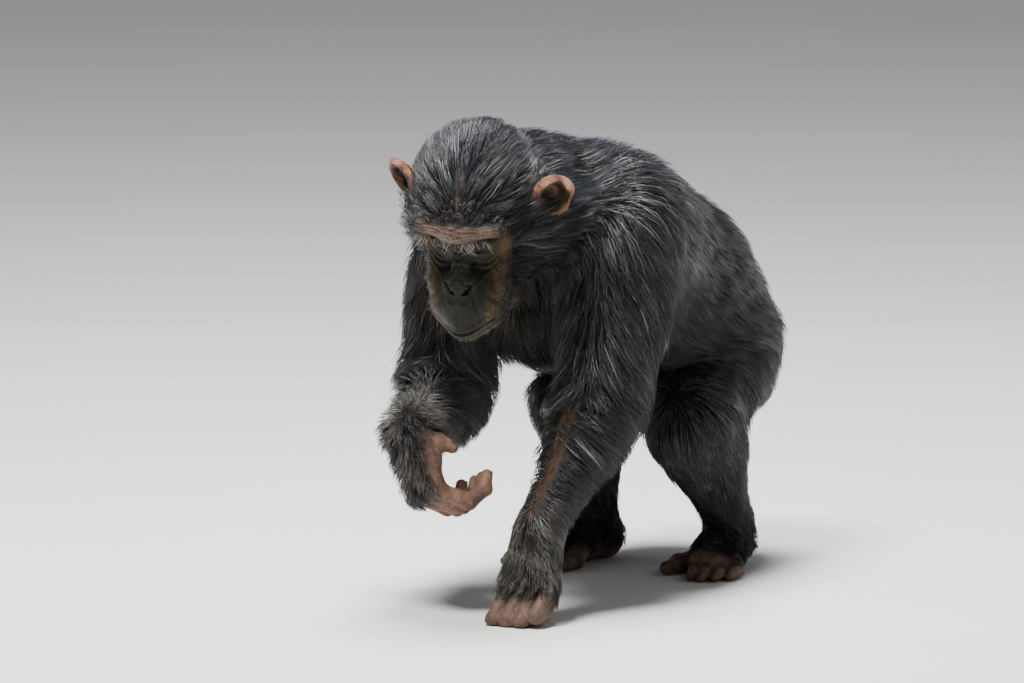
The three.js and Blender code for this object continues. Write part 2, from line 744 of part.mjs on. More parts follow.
// The lie of the hair: back along the spine and down the flanks, with the belly's hair straight back.
const wholeBody = blend([trunk, neck, limbs.left.arm, limbs.right.arm, limbs.left.leg, limbs.right.leg], 22);
const trunkLie = (p) => {
  const low = clamp((330 - p.z) / 120, 0, 1);
  return at(0.0015 * p.x, 1, -0.62 * (1 - low) - 0.18);
};
growCoat(
  "torso",
  wholeBody,
  rootsAlong(trunk, spine, UP, {
    rows: 8,
    from: 0.04,
    to: 0.97,
    turns: 12,
    ends: [
      { u: 1, lean: 32, turns: 7 },
      { u: 1, lean: 62, turns: 3 },
      { u: 0, lean: -30, turns: 8 },
    ],
  }),
  trunkLie,
  { rise: LONG_RISE, long: 118, wide: 55, thick: 4.5, deep: 8 },
);
growCoat(
  "neck",
  wholeBody,
  rootsAlong(neck, neckLine, UP, { rows: 3, from: 0.4, to: 0.92, turns: 9 }),
  (p) => at(0.004 * p.x, 1, -0.35 - 0.004 * Math.max(470 - p.z, 0)),
  { rise: LONG_RISE, long: 92, wide: 46, thick: 4, deep: 7 },
);
for (const [name, side] of Object.entries(SIDES)) {
  const { shoulder, elbow, wrist, hip, knee, ankle } = JOINTS[name];
  const { arm, leg } = limbs[name];
  growCoat(
    `upper_arm_${name}`,
    wholeBody,
    rootsAlong(arm, [shoulder, elbow], BACK, { rows: 4, from: 0, to: 0.84, turns: 7 }),
    () => at(side * 0.12, 0.42, -1),
    { rise: LONG_RISE, long: 104, wide: 44, thick: 4, deep: 7 },
  );
  growCoat(
    `forearm_${name}`,
    wholeBody,
    rootsAlong(arm, [elbow, wrist], BACK, { rows: 4, from: 0.06, to: 0.88, turns: 5 }),
    () => at(side * 0.25, 1, -0.28),
    { rise: SHORT_RISE, long: 66, wide: 34, thick: 4, deep: 6 },
  );
  growCoat(
    `thigh_${name}`,
    wholeBody,
    rootsAlong(leg, [hip, knee], UP, { rows: 4, from: 0.1, to: 0.88, turns: 7 }),
    () => at(side * 0.1, 0.75, -1),
    { rise: LONG_RISE, long: 92, wide: 46, thick: 4, deep: 7 },
  );
  growCoat(
    `lower_leg_${name}`,
    wholeBody,
    rootsAlong(leg, [knee, ankle], BACK, { rows: 3, from: 0.15, to: 0.8, turns: 5 }),
    () => at(side * 0.1, 0.6, -1),
    { rise: SHORT_RISE, long: 62, wide: 36, thick: 4, deep: 6 },
  );
}

// The head's hair, in its own frame: back over the crown from the brow, and back and down the cheeks.
const outOfHead = headPlace.clone().invert();
const headField = (p, share) => head(p.clone().applyMatrix4(outOfHead), share);
const headLie = (p) => {
  const q = p.clone().applyMatrix4(outOfHead);
  const low = clamp((20 - q.z) / 60, 0, 1);
  return at(0.008 * q.x, -1, -0.1 - 0.7 * low).transformDirection(headPlace);
};
const headRoots = [];
for (const [turn, leans] of [
  [64, [-22, 0, 22]],
  [88, [-44, -15, 15, 44]],
  [114, [-56, -28, 0, 28, 56]],
  [142, [-46, -16, 16, 46]],
  [172, [-30, 0, 30]],
  [40, [-56, 56]],
  [12, [-62, 62]],
  [-16, [-56, 56]],
  [-44, [-52, 52]],
  [-76, [-40, 0, 40]],
  [-6, [-76, 76]],
  [-36, [-70, 70]],
]) {
  for (const lean of leans) {
    const [a, b] = [radians(turn + draw(-3, 3)), radians(lean + draw(-3, 3))];
    const out = at(Math.sin(b), Math.cos(b) * Math.cos(a), Math.cos(b) * Math.sin(a));
    headRoots.push(exitPoint(core(head), HEAD_MIDDLE, out).applyMatrix4(headPlace));
  }
}
growCoat("head", blend([headField, neck], 12), headRoots, headLie, { rise: SHORT_RISE, long: 70, wide: 38, thick: 4, deep: 7 });

// The origin is at the middle of the footprint, on the floor.
const span = new THREE.Box3();
for (const { made } of bodies.values()) span.union(new THREE.Box3().setFromBufferAttribute(geometryOf(made).attributes.position));
const toMiddle = at(-(span.min.x + span.max.x) / 2, -(span.min.y + span.max.y) / 2, 0);
for (const [name, { made, material }] of bodies) {
  const mesh = new THREE.Mesh(geometryOf(made), FINISHES[material]);
  mesh.name = name;
  mesh.position.copy(toMiddle);
  model.add(mesh);
}

export default model;
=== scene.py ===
"""A young eastern chimpanzee walking on its knuckles: skin, eyes, nails and coat of the still model.

Forms are worked out in millimetres in the animal's own frame (its left is +X, its tail end +Y,
the floor at zero) and moved to the model's frame in metres when a mesh is finished.
"""

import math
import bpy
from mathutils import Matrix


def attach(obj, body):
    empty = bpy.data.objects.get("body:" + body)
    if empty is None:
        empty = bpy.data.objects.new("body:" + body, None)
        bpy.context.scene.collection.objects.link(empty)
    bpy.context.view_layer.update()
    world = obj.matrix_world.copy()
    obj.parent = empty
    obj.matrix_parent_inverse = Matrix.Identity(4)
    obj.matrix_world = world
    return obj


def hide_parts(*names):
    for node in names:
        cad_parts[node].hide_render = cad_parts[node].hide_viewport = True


bl_info = {
    "name": "Walking chimpanzee",
    "version": (1, 0, 0),
    "blender": (4, 5, 0),
    "location": "View3D > Sidebar > Chimpanzee",
    "description": "Builds the skin, eyes, nails and coat of a life-size chimpanzee model",
    "category": "Object",
}

from concurrent.futures import ThreadPoolExecutor

import bpy
import numpy as np
from bpy.props import FloatProperty, FloatVectorProperty, IntProperty, PointerProperty
from mathutils import Matrix, Vector, kdtree

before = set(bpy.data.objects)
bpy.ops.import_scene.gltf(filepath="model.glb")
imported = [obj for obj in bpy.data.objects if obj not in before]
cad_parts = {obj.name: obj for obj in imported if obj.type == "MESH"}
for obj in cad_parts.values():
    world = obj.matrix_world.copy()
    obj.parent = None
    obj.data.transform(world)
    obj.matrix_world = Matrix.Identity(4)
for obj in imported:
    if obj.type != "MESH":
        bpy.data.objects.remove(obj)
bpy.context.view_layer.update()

# Places that the skin shares with the solids, in the animal's frame.
TO_MODEL = np.array((5.5905, -44.3950, 0.0))
SIDES = {"left": 1, "right": -1}
JOINTS = {
    "left": {
        "shoulder": (105, -50, 447),
        "elbow": (104, -95, 250),
        "wrist": (81, -207, 106.4),
        "hip": (60, 292, 270),
        "knee": (104, 118, 200),
        "ankle": (84, 262, 62),
    },
    "right": {
        "shoulder": (-105, -50, 447),
        "elbow": (-131, -63, 237),
        "wrist": (-79, -236, 218),
        "hip": (-60, 292, 270),
        "knee": (-66, 134, 214),
        "ankle": (-86, 222, 60),
    },
}
JOINTS = {side: {k: np.array(v, float) for k, v in joints.items()} for side, joints in JOINTS.items()}
HEAD_SEAT = np.array((0.0, -208.0, 505.0))
HEAD_TURN = np.array(
    Matrix.Rotation(math.radians(191), 3, "Z")
    @ Matrix.Rotation(math.radians(-48.5), 3, "X")
    @ Matrix.Rotation(math.radians(-3), 3, "Y")
)
HEAD_REACH = 200.0
EYE = {"x": 28.0, "y": 71.0, "z": 16.0, "radius": 12.0}
UP = np.array((0.0, 0.0, 1.0))
FLOOR_GAP = 0.25
LOOK_AT = np.array((-56.0, -32.3, 306.0))


def unit(v):
    return v / np.maximum(np.linalg.norm(v, axis=-1, keepdims=True), 1e-9)


def vec(*values):
    return np.array(values, float)


def along(a, b, share):
    return a + (b - a) * share


def ramp(value, low, high):
    t = np.clip((value - low) / (high - low), 0, 1)
    return t * t * (3 - 2 * t)


def band(value, low, full, fading, gone):
    """Rises from low to full, and falls again from fading to gone."""
    return ramp(value, low, full) * (1 - ramp(value, fading, gone))


def hump(value, width):
    """1 at nought and less on both sides."""
    return np.exp(-((value / width) ** 2))


def norms(v):
    return np.linalg.norm(v, axis=1)


def along_of(p, a, b):
    """Each point's share of the way from a to b."""
    return (p - a) @ (b - a) / ((b - a) @ (b - a))


def to_head(p):
    return (p - HEAD_SEAT) @ HEAD_TURN


def from_head(q):
    return q @ HEAD_TURN.T + HEAD_SEAT


# Masses of flesh as distance functions. A mass grows by its coat times the share asked for.
class Bar:
    """A tapered bar with round ends."""

    def __init__(self, a, b, ra, rb, coat=0.0, coat_end=None):
        self.a, self.b, self.ra, self.rb = vec(*a), vec(*b), ra, rb
        self.coat, self.coat_end = coat, coat if coat_end is None else coat_end

    def __call__(self, p, share=0.0):
        t = np.clip(along_of(p, self.a, self.b), 0, 1)
        off = p - self.a - t[:, None] * (self.b - self.a)
        away = np.sqrt(np.maximum((off**2).sum(1), 1e-12))
        radius = self.ra + t * (self.rb - self.ra)
        return away - radius - share * (self.coat + t * (self.coat_end - self.coat))


class Egg:
    """An ellipsoid, turned where a turn is given."""

    def __init__(self, centre, radii, coat=0.0, turn=np.eye(3)):
        self.centre, self.radii, self.coat, self.turn = vec(*centre), vec(*radii), coat, turn

    def __call__(self, p, share=0.0):
        q = (p - self.centre) @ self.turn
        grown = np.asarray(share * self.coat)
        radii = self.radii + (grown[:, None] if grown.ndim else grown)
        near = np.sqrt(((q / radii) ** 2).sum(1))
        slope = np.sqrt(((q / radii**2) ** 2).sum(1))
        return near * (near - 1) / np.maximum(slope, 1e-6)


def soft_least(distances, softness):
    """The least of some distances, with a soft valley where two meet."""
    least = distances[0]
    for d in distances[1:]:
        near = np.maximum(softness - np.abs(least - d), 0) / softness
        least = np.minimum(least, d) - near * near * softness / 4
    return least


class Blend:
    """Masses joined with soft valleys."""

    def __init__(self, masses, softness):
        self.masses, self.softness = masses, softness

    def __call__(self, p, share=0.0):
        return soft_least([mass(p, share) for mass in self.masses], self.softness)


def both(make):
    return [make(-1), make(1)]


TRUNK = Blend(
    [
        Egg((0, 55, 411), (120, 142, 108), 38),
        Egg((0, 195, 348), (112, 130, 108), 32),
        Egg((0, 286, 314), (76, 84, 104), 30),
        Egg((0, -38, 375), (86, 72, 84), 24),
        *both(lambda s: Egg((s * 78, -15, 446), (62, 84, 74), 36)),
        *both(lambda s: Egg((s * 54, 302, 270), (48, 64, 66), 28)),
    ],
    34,
)
NECK = Blend([Bar((0, 10, 448), (-4, -150, 500), 84, 68, 30)], 20)


def arm_masses(joints, side):
    shoulder, elbow, wrist = joints["shoulder"], joints["elbow"], joints["wrist"]
    bulge = along(elbow, wrist, 0.22)
    upper = [
        Bar(shoulder, elbow, 50, 34, 30, 26),
        Egg(along(shoulder, elbow, 0.45) + vec(side * 4, 6, 0), (40, 43, 62), 28),
    ]
    lower = [Bar(elbow, bulge, 34, 36, 26), Bar(bulge, wrist, 36, 23, 26, 9)]
    return Blend(upper, 26), Blend(lower, 26)


def leg_masses(joints, side):
    hip, knee, ankle = joints["hip"], joints["knee"], joints["ankle"]
    calf = along(knee, ankle, 0.3) + vec(0, 14, 0)
    upper = [
        Bar(hip, knee, 55, 38, 23, 22),
        Egg(along(hip, knee, 0.3) + vec(side * 5, 0, -5), (50, 70, 56), 24),
    ]
    lower = [Bar(knee, calf, 38, 36, 22, 20), Bar(calf, ankle, 35, 23, 20, 9)]
    return Blend(upper, 26), Blend(lower, 26)


HEAD_MASSES = [
    Egg((0, 2, 32), (62, 76, 55), 24),
    *both(lambda s: Bar((0, 82, 49), (s * 49, 72, 45), 11, 9.5)),
    Bar((0, 68, 24), (0, 113, -8), 13, 10.5),
    *both(lambda s: Egg((s * 9.5, 113, -12), (8, 9, 7))),
    *both(lambda s: Bar((s * 46, 57, 8), (s * 50, 20, -8), 14, 24, 6, 30)),
    *both(lambda s: Bar((s * 30, 66, -12), (s * 26, 92, -36), 20, 24)),
    Egg((0, 107, -45), (41, 44, 34)),
    Egg((0, 102, -78), (36, 41, 22), 3),
    *both(lambda s: Bar((s * 24, 82, -76), (s * 50, 8, -52), 20, 26, 5, 28)),
    Egg((0, -10, -20), (56, 60, 50), 26),
    *both(lambda s: Bar((s * 14, 76, 30), (s * 17, 79, 4), 9, 7)),
    *both(lambda s: Bar((0, 141, -54), (s * 31, 123, -53), 8.5, 8)),
    *both(lambda s: Bar((0, 141, -69), (s * 28, 120, -66), 9.5, 8.5)),
]
NOSTRILS = {s: Bar((s * 3.7, 129, -24), (s * 11.5, 119, -11.5), 1.5, 2.5) for s in (-1, 1)}
LIDS = both(lambda s: Egg((s * EYE["x"], EYE["y"], EYE["z"]), (13.8, 14, 13.2)))


class Head(Blend):
    """Skull, brow, muzzle and jaw with the eyeballs' lids laid over them."""

    def __call__(self, p, share=0.0):
        q = to_head(p)
        return soft_least([super().__call__(q, share)] + [lid(q, share) for lid in LIDS], 4)


HEAD = Head(HEAD_MASSES, 16)

# Ears: shallow bowls with a rolled rim, a fold inside and a foot sunk in the head.
EAR = {
    "x": 93.0,
    "y": -6.0,
    "z": 15.0,
    "lift": 6.0,
    "wide": 28.0,
    "tall": 31.0,
    "deep": 15.0,
    "rim": 3.4,
    "wall": 2.1,
    "short": 1.8,
}


def ear_axes(s):
    opening = unit(vec(s * 0.62, 0.74, 0.25))
    up = unit(vec(0, 0, 1) - opening[2] * opening)
    return opening, np.cross(up, opening) * s, up


class Ear:
    """One ear, in the head's frame, taken from the animal's."""

    def __init__(self, s):
        self.s = s
        self.opening, self.across, self.up = ear_axes(s)
        self.centre = vec(s * EAR["x"], EAR["y"], EAR["z"] + s * EAR["lift"])
        root = self.centre - self.opening * 46 - vec(s * 8, 0, 0)
        self.stalk = Bar(self.centre - self.opening * 17, root, 9, 17)

    def local(self, q):
        """Ways across and up the ear and out of its bowl."""
        r = q - self.centre
        up = r @ self.up
        # The right ear's lower half is short, for the cheek's hair stands over it.
        if self.s > 0:
            up = np.where(up < 0, up * EAR["short"], up)
        return r @ self.across, up, r @ self.opening

    def __call__(self, p, share=0.0):
        a, b, h = self.local(to_head(p))
        lobe = 1 + 0.42 * ramp(-b, 2, 32)
        rho = np.sqrt((a / EAR["wide"] * lobe) ** 2 + (b / EAR["tall"]) ** 2) + 1e-6
        inside = np.minimum(rho, 1)
        bowl = EAR["deep"] * (0.36 * inside**2 - 0.98 * (1 - inside**2) ** 1.4)
        fold = 4.2 * hump(rho - 0.62, 0.13) * ramp(b, -16, 6)
        knob = 5.0 * np.exp(-(((a - 16) / 6) ** 2 + ((b + 8) / 7) ** 2))
        sheet = np.abs(h - bowl - fold - knob) * 0.72 - EAR["wall"] - 0.5 * (fold + knob)
        wall = np.maximum(sheet, (rho - 1) * 30)
        reach = np.sqrt(((rho - 0.94) * 30) ** 2 + (h - EAR["deep"] * 0.36) ** 2)
        rolled = 3.0 * ramp(b, 0, 24) * ramp(a, -26, 8)
        rim = reach - EAR["rim"] * (0.46 + 0.32 * ramp(b, -34, -4)) - rolled
        return soft_least([wall, rim, self.stalk(to_head(p))], 4)

    def bare(self, p):
        """1 on the cup and its rim, 0 on the haired foot behind it."""
        return (1 - ramp(self(p), 1.2, 4)) * ramp(self.local(to_head(p))[2], -16, -11)


EARS = {name: Ear(s) for name, s in (("left", -1), ("right", 1))}

# Hands: m runs down the palm, n out of it, r to the little finger.
HANDS = {
    "left": {"m": (0.03, -0.4, -0.915), "n": (0, 0.915, -0.4), "curls": (-26, 113.6, 155)},
    "right": {"m": (0.36, -0.07, -0.93), "n": (0.52, 0.84, 0.14), "curls": (58, 112, 155)},
}
THUMBS = {
    "left": [(-24, 14, 16), (-30, 22, 40), (-24, 26, 62)],
    "right": [(-16, 6, 10), (-27, 19, 21), (-30, 33, 32)],
}
THUMB_BACKS = {"left": (-0.9, -0.45, 0), "right": (-0.6, -0.1, -0.8)}
# Way across the palm, the bones' lengths, and how much further down the knuckle lies.
FINGERS = {
    "index": (-28, (42, 27, 18), 0),
    "middle": (-9, (42, 29, 19), 1),
    "ring": (9.8, (42, 28, 18), 0),
    "little": (28, (38, 22, 16), -3),
}
FINGER_RADII = (9.3, 10.0, 8.5, 7.0)
PALM = 80


def chain(points, radii, softness):
    """The bones of one digit."""
    return Blend([Bar(*ends) for ends in zip(points, points[1:], radii, radii[1:])], softness)


class Hand:
    """Palm, fingers and thumb set out from the wrist."""

    def __init__(self, name):
        side = SIDES[name]
        self.m = unit(vec(*HANDS[name]["m"]))
        n = vec(*HANDS[name]["n"])
        self.n = unit(n - (n @ self.m) * self.m)
        self.r = side * np.cross(self.m, self.n)
        self.wrist = JOINTS[name]["wrist"]
        self.fingers, self.backs = {}, {}
        for finger, (row, lengths, knuckle) in FINGERS.items():
            points = [self.place(row, 0, PALM - 2 + knuckle)]
            for bone, curl in zip(lengths, HANDS[name]["curls"]):
                a = math.radians(curl)
                points.append(points[-1] + bone * (self.m * math.cos(a) + self.n * math.sin(a)))
            self.fingers[finger] = points
            last = math.radians(HANDS[name]["curls"][-1])
            self.backs[finger] = self.m * math.sin(last) - self.n * math.cos(last)
        self.thumb = [self.place(row, out, down) for row, out, down in THUMBS[name]]
        self.backs["thumb"] = unit(vec(*THUMB_BACKS[name]) @ np.stack((self.r, self.n, self.m)))
        bones = [
            Bar(self.place(0.42 * row, 0, -6), self.place(row, 1, PALM - 4 + knuckle), 15.5, 10.5)
            for row, _, knuckle in FINGERS.values()
        ]
        turn = np.column_stack((self.r, self.n, self.m))
        pads = [
            Egg(self.place(-18, 8, 30), (14, 14, 26), turn=turn),
            Egg(self.place(18, 7, 26), (12, 12, 26), turn=turn),
        ]
        self.palm = Blend(bones + pads, 9)
        self.digits = [chain(points, FINGER_RADII, 3) for points in self.fingers.values()]
        self.digits.append(chain(self.thumb, (12, 9.5, 7.5), 5))
        self.masses = [self.palm, *self.digits]

    def place(self, row, out, down):
        return self.wrist + self.r * row + self.n * out + self.m * down

    def __call__(self, p, share=0.0):
        fingers = soft_least([digit(p) for digit in self.digits], 1.4)
        return soft_least([self.palm(p), fingers], 5)


# Feet, flat on the floor, turned out by so many degrees.
FEET = {"left": 7, "right": 9}
# Way across the sole, where the toe starts, and its length.
TOES = {
    "second": (4, -114, 22),
    "third": (19.5, -113, 24),
    "fourth": (34.5, -107, 22),
    "little": (48.5, -97, 18),
}


class Foot:
    """Heel, sole and toes set out from the ankle."""

    def __init__(self, name):
        side, yaw = SIDES[name], math.radians(FEET[name])
        self.ankle = JOINTS[name]["ankle"]
        self.forward = vec(side * math.sin(yaw), -math.cos(yaw), 0)
        self.out = vec(side * math.cos(yaw), math.sin(yaw), 0)
        at = self.place
        self.sole = Blend(
            [
                Bar(self.ankle, at(0, 12, 34), 24, 25, 9, 5),
                Bar(at(0, 22, 22), at(2, -30, 26), 24, 24, 4, 3),
                Bar(at(-6, -30, 24), at(-4, -84, 17), 22, 17, 3, 2),
                Bar(at(14, -20, 20), at(36, -80, 13), 20, 15, 3, 2),
                Bar(at(8, -40, 22), at(16, -88, 15), 22, 17, 3, 2),
            ],
            14,
        )
        self.toes = {
            toe: [at(row, start + 10, 9), at(row, start - 0.45 * long, 9.4), at(row, start - long, 6.2)]
            for toe, (row, start, long) in TOES.items()
        }
        self.big_toe = [at(-16, -52, 14), at(-34, -80, 11.2), at(-39, -106, 9.2)]
        self.digits = [chain(points, (7.8, 7.2, 5.9), 3) for points in self.toes.values()]
        self.digits.append(chain(self.big_toe, (14, 11.2, 8.8), 5))
        self.masses = [self.sole, *self.digits]

    def place(self, row, back, up):
        return vec(self.ankle[0], self.ankle[1], up) + self.out * row - self.forward * back

    def __call__(self, p, share=0.0):
        toes = soft_least([digit(p) for digit in self.digits], 1.6)
        return soft_least([self.sole(p, share), toes], 6)


HAND = {name: Hand(name) for name in SIDES}
FOOT = {name: Foot(name) for name in SIDES}

# The whole body, region by region. A region is worked out within REACH of its masses and is FAR
# beyond. SOFT says how widely things blend, and MEETING how widely two coats do.
REGIONS = {"trunk": TRUNK, "neck": NECK, "head": HEAD}
for _name, _side in SIDES.items():
    _forms = (*arm_masses(JOINTS[_name], _side), HAND[_name], *leg_masses(JOINTS[_name], _side), FOOT[_name])
    for _kind, _form in zip(("upper_arm_", "forearm_", "hand_", "thigh_", "shank_", "foot_"), _forms):
        REGIONS[_kind + _name] = _form
NAMES = list(REGIONS)
FAR = 400.0
REACH = 90.0
CHUNK = 7000
MEETING = 11
SOFT = {"limb": 26, "body": 22, "head": 14, "paw": 10, "ear": 5, "floor": 1.5}


def all_masses(form):
    if isinstance(form, (Bar, Egg)):
        return [form]
    return [mass for part in form.masses for mass in all_masses(part)]


def region_ball(name):
    """A ball round a region's masses, past which the region is too far off to matter."""
    ends = []
    for mass in all_masses(REGIONS[name]):
        if isinstance(mass, Bar):
            ends += [(mass.a, mass.ra), (mass.b, mass.rb)]
        else:
            ends.append((mass.centre, mass.radii.max()))
    if name == "head":
        ends = [(from_head(centre), radius) for centre, radius in ends]
    middle = np.mean([centre for centre, _ in ends], axis=0)
    return middle, max(np.linalg.norm(centre - middle) + radius for centre, radius in ends)


REGION_BALLS = {name: region_ball(name) for name in NAMES}


def region_distances(p, share=0.0):
    share = np.broadcast_to(np.asarray(share, float), (len(p),))
    d = np.full((len(p), len(NAMES)), FAR)
    for i, name in enumerate(NAMES):
        middle, radius = REGION_BALLS[name]
        near = ((p - middle) ** 2).sum(1) < (radius + REACH) ** 2
        if near.any():
            d[near, i] = REGIONS[name](p[near], share[near])
    return d


def in_chunks(work, *arrays):
    """Runs work over slices of the arrays side by side, and joins what it gives."""
    starts = range(0, max(len(arrays[0]), 1), CHUNK)
    with ThreadPoolExecutor(4) as pool:
        parts = list(pool.map(lambda i: work(*(a[i : i + CHUNK] for a in arrays)), starts))
    if isinstance(parts[0], tuple):
        return tuple(np.concatenate(column) for column in zip(*parts))
    return np.concatenate(parts)


def join_regions(d):
    """The regions' distances joined as one body: limbs blended widely, hands and feet closely."""
    col = {name: d[:, i] for i, name in enumerate(NAMES)}
    limbs = []
    for name in SIDES:
        for upper, lower in (("upper_arm_", "forearm_"), ("thigh_", "shank_")):
            limbs.append(soft_least([col[upper + name], col[lower + name]], SOFT["limb"]))
    body = soft_least([col["trunk"], col["neck"], *limbs], SOFT["body"])
    body = soft_least([body, col["head"]], SOFT["head"])
    paws = [col[part + name] for name in SIDES for part in ("hand_", "foot_")]
    return soft_least([body, *paws], SOFT["paw"])


def body_distance(p, share=0.0):
    return join_regions(region_distances(p, share))


def eye_slit(q, s):
    """How far a point in the head's frame is from the gap between the lids."""
    wide, tall, drop = 10.8, 2.7, 3.4
    x = (q[:, 0] - s * (EYE["x"] + 0.5)) * s
    z = q[:, 2] - (EYE["z"] - drop) + 0.12 * x + 0.012 * x * x
    return Egg((0, 0, 0), (wide, 14, tall))(np.stack((x, q[:, 1] - EYE["y"] - 14, z), 1))


def skin_distance(p):
    """The bare surface of the whole animal: ears on, eyes and nostrils opened, flat on the floor."""
    d = body_distance(p)
    near = ((p - HEAD_SEAT) ** 2).sum(1) < (HEAD_REACH + 10) ** 2
    if near.any():
        d[near] = with_head_openings(p[near], d[near])
    return -soft_least([-d, p[:, 2]], SOFT["floor"])


def with_head_openings(p, d):
    for ear in EARS.values():
        d = soft_least([d, ear(p)], SOFT["ear"])
    q = to_head(p)
    for s in (-1, 1):
        for hole, softness in ((eye_slit(q, s), 1.2), (NOSTRILS[s](q), 1.6)):
            d = -soft_least([-d, hole], softness)
    return d


def slope_of(distance, p, step):
    """A distance function's value and slope at each point."""
    here = distance(p)
    slope = np.empty_like(p)
    for axis in range(3):
        moved = p.copy()
        moved[:, axis] += step
        slope[:, axis] = (distance(moved) - here) / step
    return here, slope


def press_to_surface(mesh, rounds, most=6.0, step=0.6):
    """Moves a mesh's points on to the bare surface."""
    points = in_chunks(lambda part: press_part(part, rounds, most, step), read_points(mesh))
    write_points(mesh, points)


def press_part(p, rounds, most, step):
    for _ in range(rounds):
        here, slope = slope_of(skin_distance, p, step)
        square = np.maximum((slope**2).sum(1), 0.25)
        move = -(here / square)[:, None] * slope
        size = np.linalg.norm(move, axis=1, keepdims=True)
        p = p + move * np.minimum(1, most / np.maximum(size, 1e-9))
    return p


# Help with meshes.
def clear_selection():
    if bpy.context.object and bpy.context.object.mode != "OBJECT":
        bpy.ops.object.mode_set(mode="OBJECT")
    bpy.ops.object.select_all(action="DESELECT")


def make_active(obj):
    clear_selection()
    obj.select_set(True)
    bpy.context.view_layer.objects.active = obj


def read_points(mesh):
    flat = np.empty(len(mesh.vertices) * 3)
    mesh.vertices.foreach_get("co", flat)
    return flat.reshape(-1, 3)


def write_points(mesh, points):
    mesh.vertices.foreach_set("co", np.ascontiguousarray(points, dtype=np.float32).ravel())
    mesh.update()


def metres(p):
    return (p + TO_MODEL) / 1000


def millimetres(p):
    return p * 1000 - TO_MODEL


def add_tint(mesh, name, colours):
    attribute = mesh.attributes.new(name, "FLOAT_COLOR", "POINT")
    rgba = np.ones((len(mesh.vertices), 4), np.float32)
    rgba[:, :3] = colours
    attribute.data.foreach_set("color", rgba.ravel())


def add_value(mesh, name, values):
    attribute = mesh.attributes.new(name, "FLOAT", "POINT")
    attribute.data.foreach_set("value", np.asarray(values, np.float32))


def add_ball(centre, radii, turn=np.eye(3)):
    bpy.ops.mesh.primitive_uv_sphere_add(segments=28, ring_count=18, radius=1, location=centre)
    ball = bpy.context.object
    ball.rotation_mode = "QUATERNION"
    ball.rotation_quaternion = Matrix(turn).to_quaternion()
    ball.scale = radii
    return ball


def add_mass(mass, placed=np.array, turn=np.eye(3)):
    """Adds the primitives that fill one mass, and gives their objects."""
    if isinstance(mass, Egg):
        return [add_ball(placed(mass.centre), mass.radii, turn @ mass.turn)]
    a, b = placed(mass.a), placed(mass.b)
    made = [add_ball(a, (mass.ra,) * 3), add_ball(b, (mass.rb,) * 3)]
    way = Vector(b - a)
    bpy.ops.mesh.primitive_cone_add(
        vertices=28,
        radius1=mass.ra,
        radius2=mass.rb,
        depth=way.length,
        location=(a + b) / 2,
        rotation=way.to_track_quat("Z", "Y").to_euler(),
    )
    made.append(bpy.context.object)
    return made


def in_edit_mode(obj, work, chosen=None, mode="FACE"):
    """Runs an operator in edit mode, on the whole mesh or on the chosen faces."""
    make_active(obj)
    bpy.ops.object.mode_set(mode="EDIT")
    bpy.ops.mesh.select_mode(type=mode)
    bpy.ops.mesh.select_all(action="SELECT" if chosen is None else "DESELECT")
    if chosen is not None:
        bpy.ops.object.mode_set(mode="OBJECT")
        obj.data.polygons.foreach_set("select", chosen)
        bpy.ops.object.mode_set(mode="EDIT")
    work()
    bpy.ops.object.mode_set(mode="OBJECT")


def join_all(objects):
    clear_selection()
    for obj in objects:
        obj.select_set(True)
    bpy.context.view_layer.objects.active = objects[0]
    bpy.ops.object.join()
    return bpy.context.object


def face_centres(mesh):
    flat = np.empty(len(mesh.polygons) * 3)
    mesh.polygons.foreach_get("center", flat)
    return flat.reshape(-1, 3)


# Where the bare face, ears, hands and feet are.
HAIRLINE = -37.5
CROWN = 45


def seen_height(q):
    """How high a point of the head stands as the viewer sees it, in the head's frame."""
    return 0.54 * q[:, 2] - 0.84 * q[:, 1]


def face_share(q):
    """1 on the bare face and 0 under the coat, in the head's frame."""
    x, y, z = q.T
    side = np.abs(x)
    hairline = HAIRLINE + 5.0 * (x / 49) ** 2 + 0.8 * np.sin(x * 0.31)
    above = np.minimum(1 - side / (57 - 3 * ramp(z, 20, 40)), (hairline - seen_height(q)) / 30)
    below = 1 - np.sqrt((x / (53 - 0.10 * (-14 - z))) ** 2 + ((z + 14) / 84) ** 2)
    return ramp(np.where(z > -14, above, below), -0.03, 0.07) * ramp(y, 34, 52)


def digits_share(p):
    """1 on the bare fingers, toes, palms and soles."""
    share = np.zeros(len(p))
    for hand in HAND.values():
        r = p - hand.wrist
        near = 1 - ramp(hand(p), 2, 6)
        down, out = r @ hand.m, r @ hand.n
        palm = np.maximum(ramp(down, PALM - 8, PALM + 8), ramp(out, 5, 13) * ramp(down, -6, 10))
        beside = ramp(-(r @ hand.r), 10, 22) * ramp(down, -2, 12) * ramp(out, -13, -4)
        thumb = 1 - ramp(hand.digits[-1](p), 0.5, 4)
        share = np.max([share, near * palm, thumb, near * beside * 0.6], axis=0)
    for foot in FOOT.values():
        near = 1 - ramp(foot(p), 2, 6)
        front = np.maximum(ramp((p - foot.ankle) @ foot.forward, 84, 100), 1 - ramp(p[:, 2], 9, 20))
        share = np.max([share, near * front, 1 - ramp(foot.digits[-1](p), 0.5, 4)], axis=0)
    return share


# Settings.
def colour_of(name, what, default):
    return FloatVectorProperty(name=name, description="Colour of " + what, subtype="COLOR", default=default)


def length_of(name, description, default, least):
    return FloatProperty(name=name, description=description, default=default, min=least, unit="LENGTH")


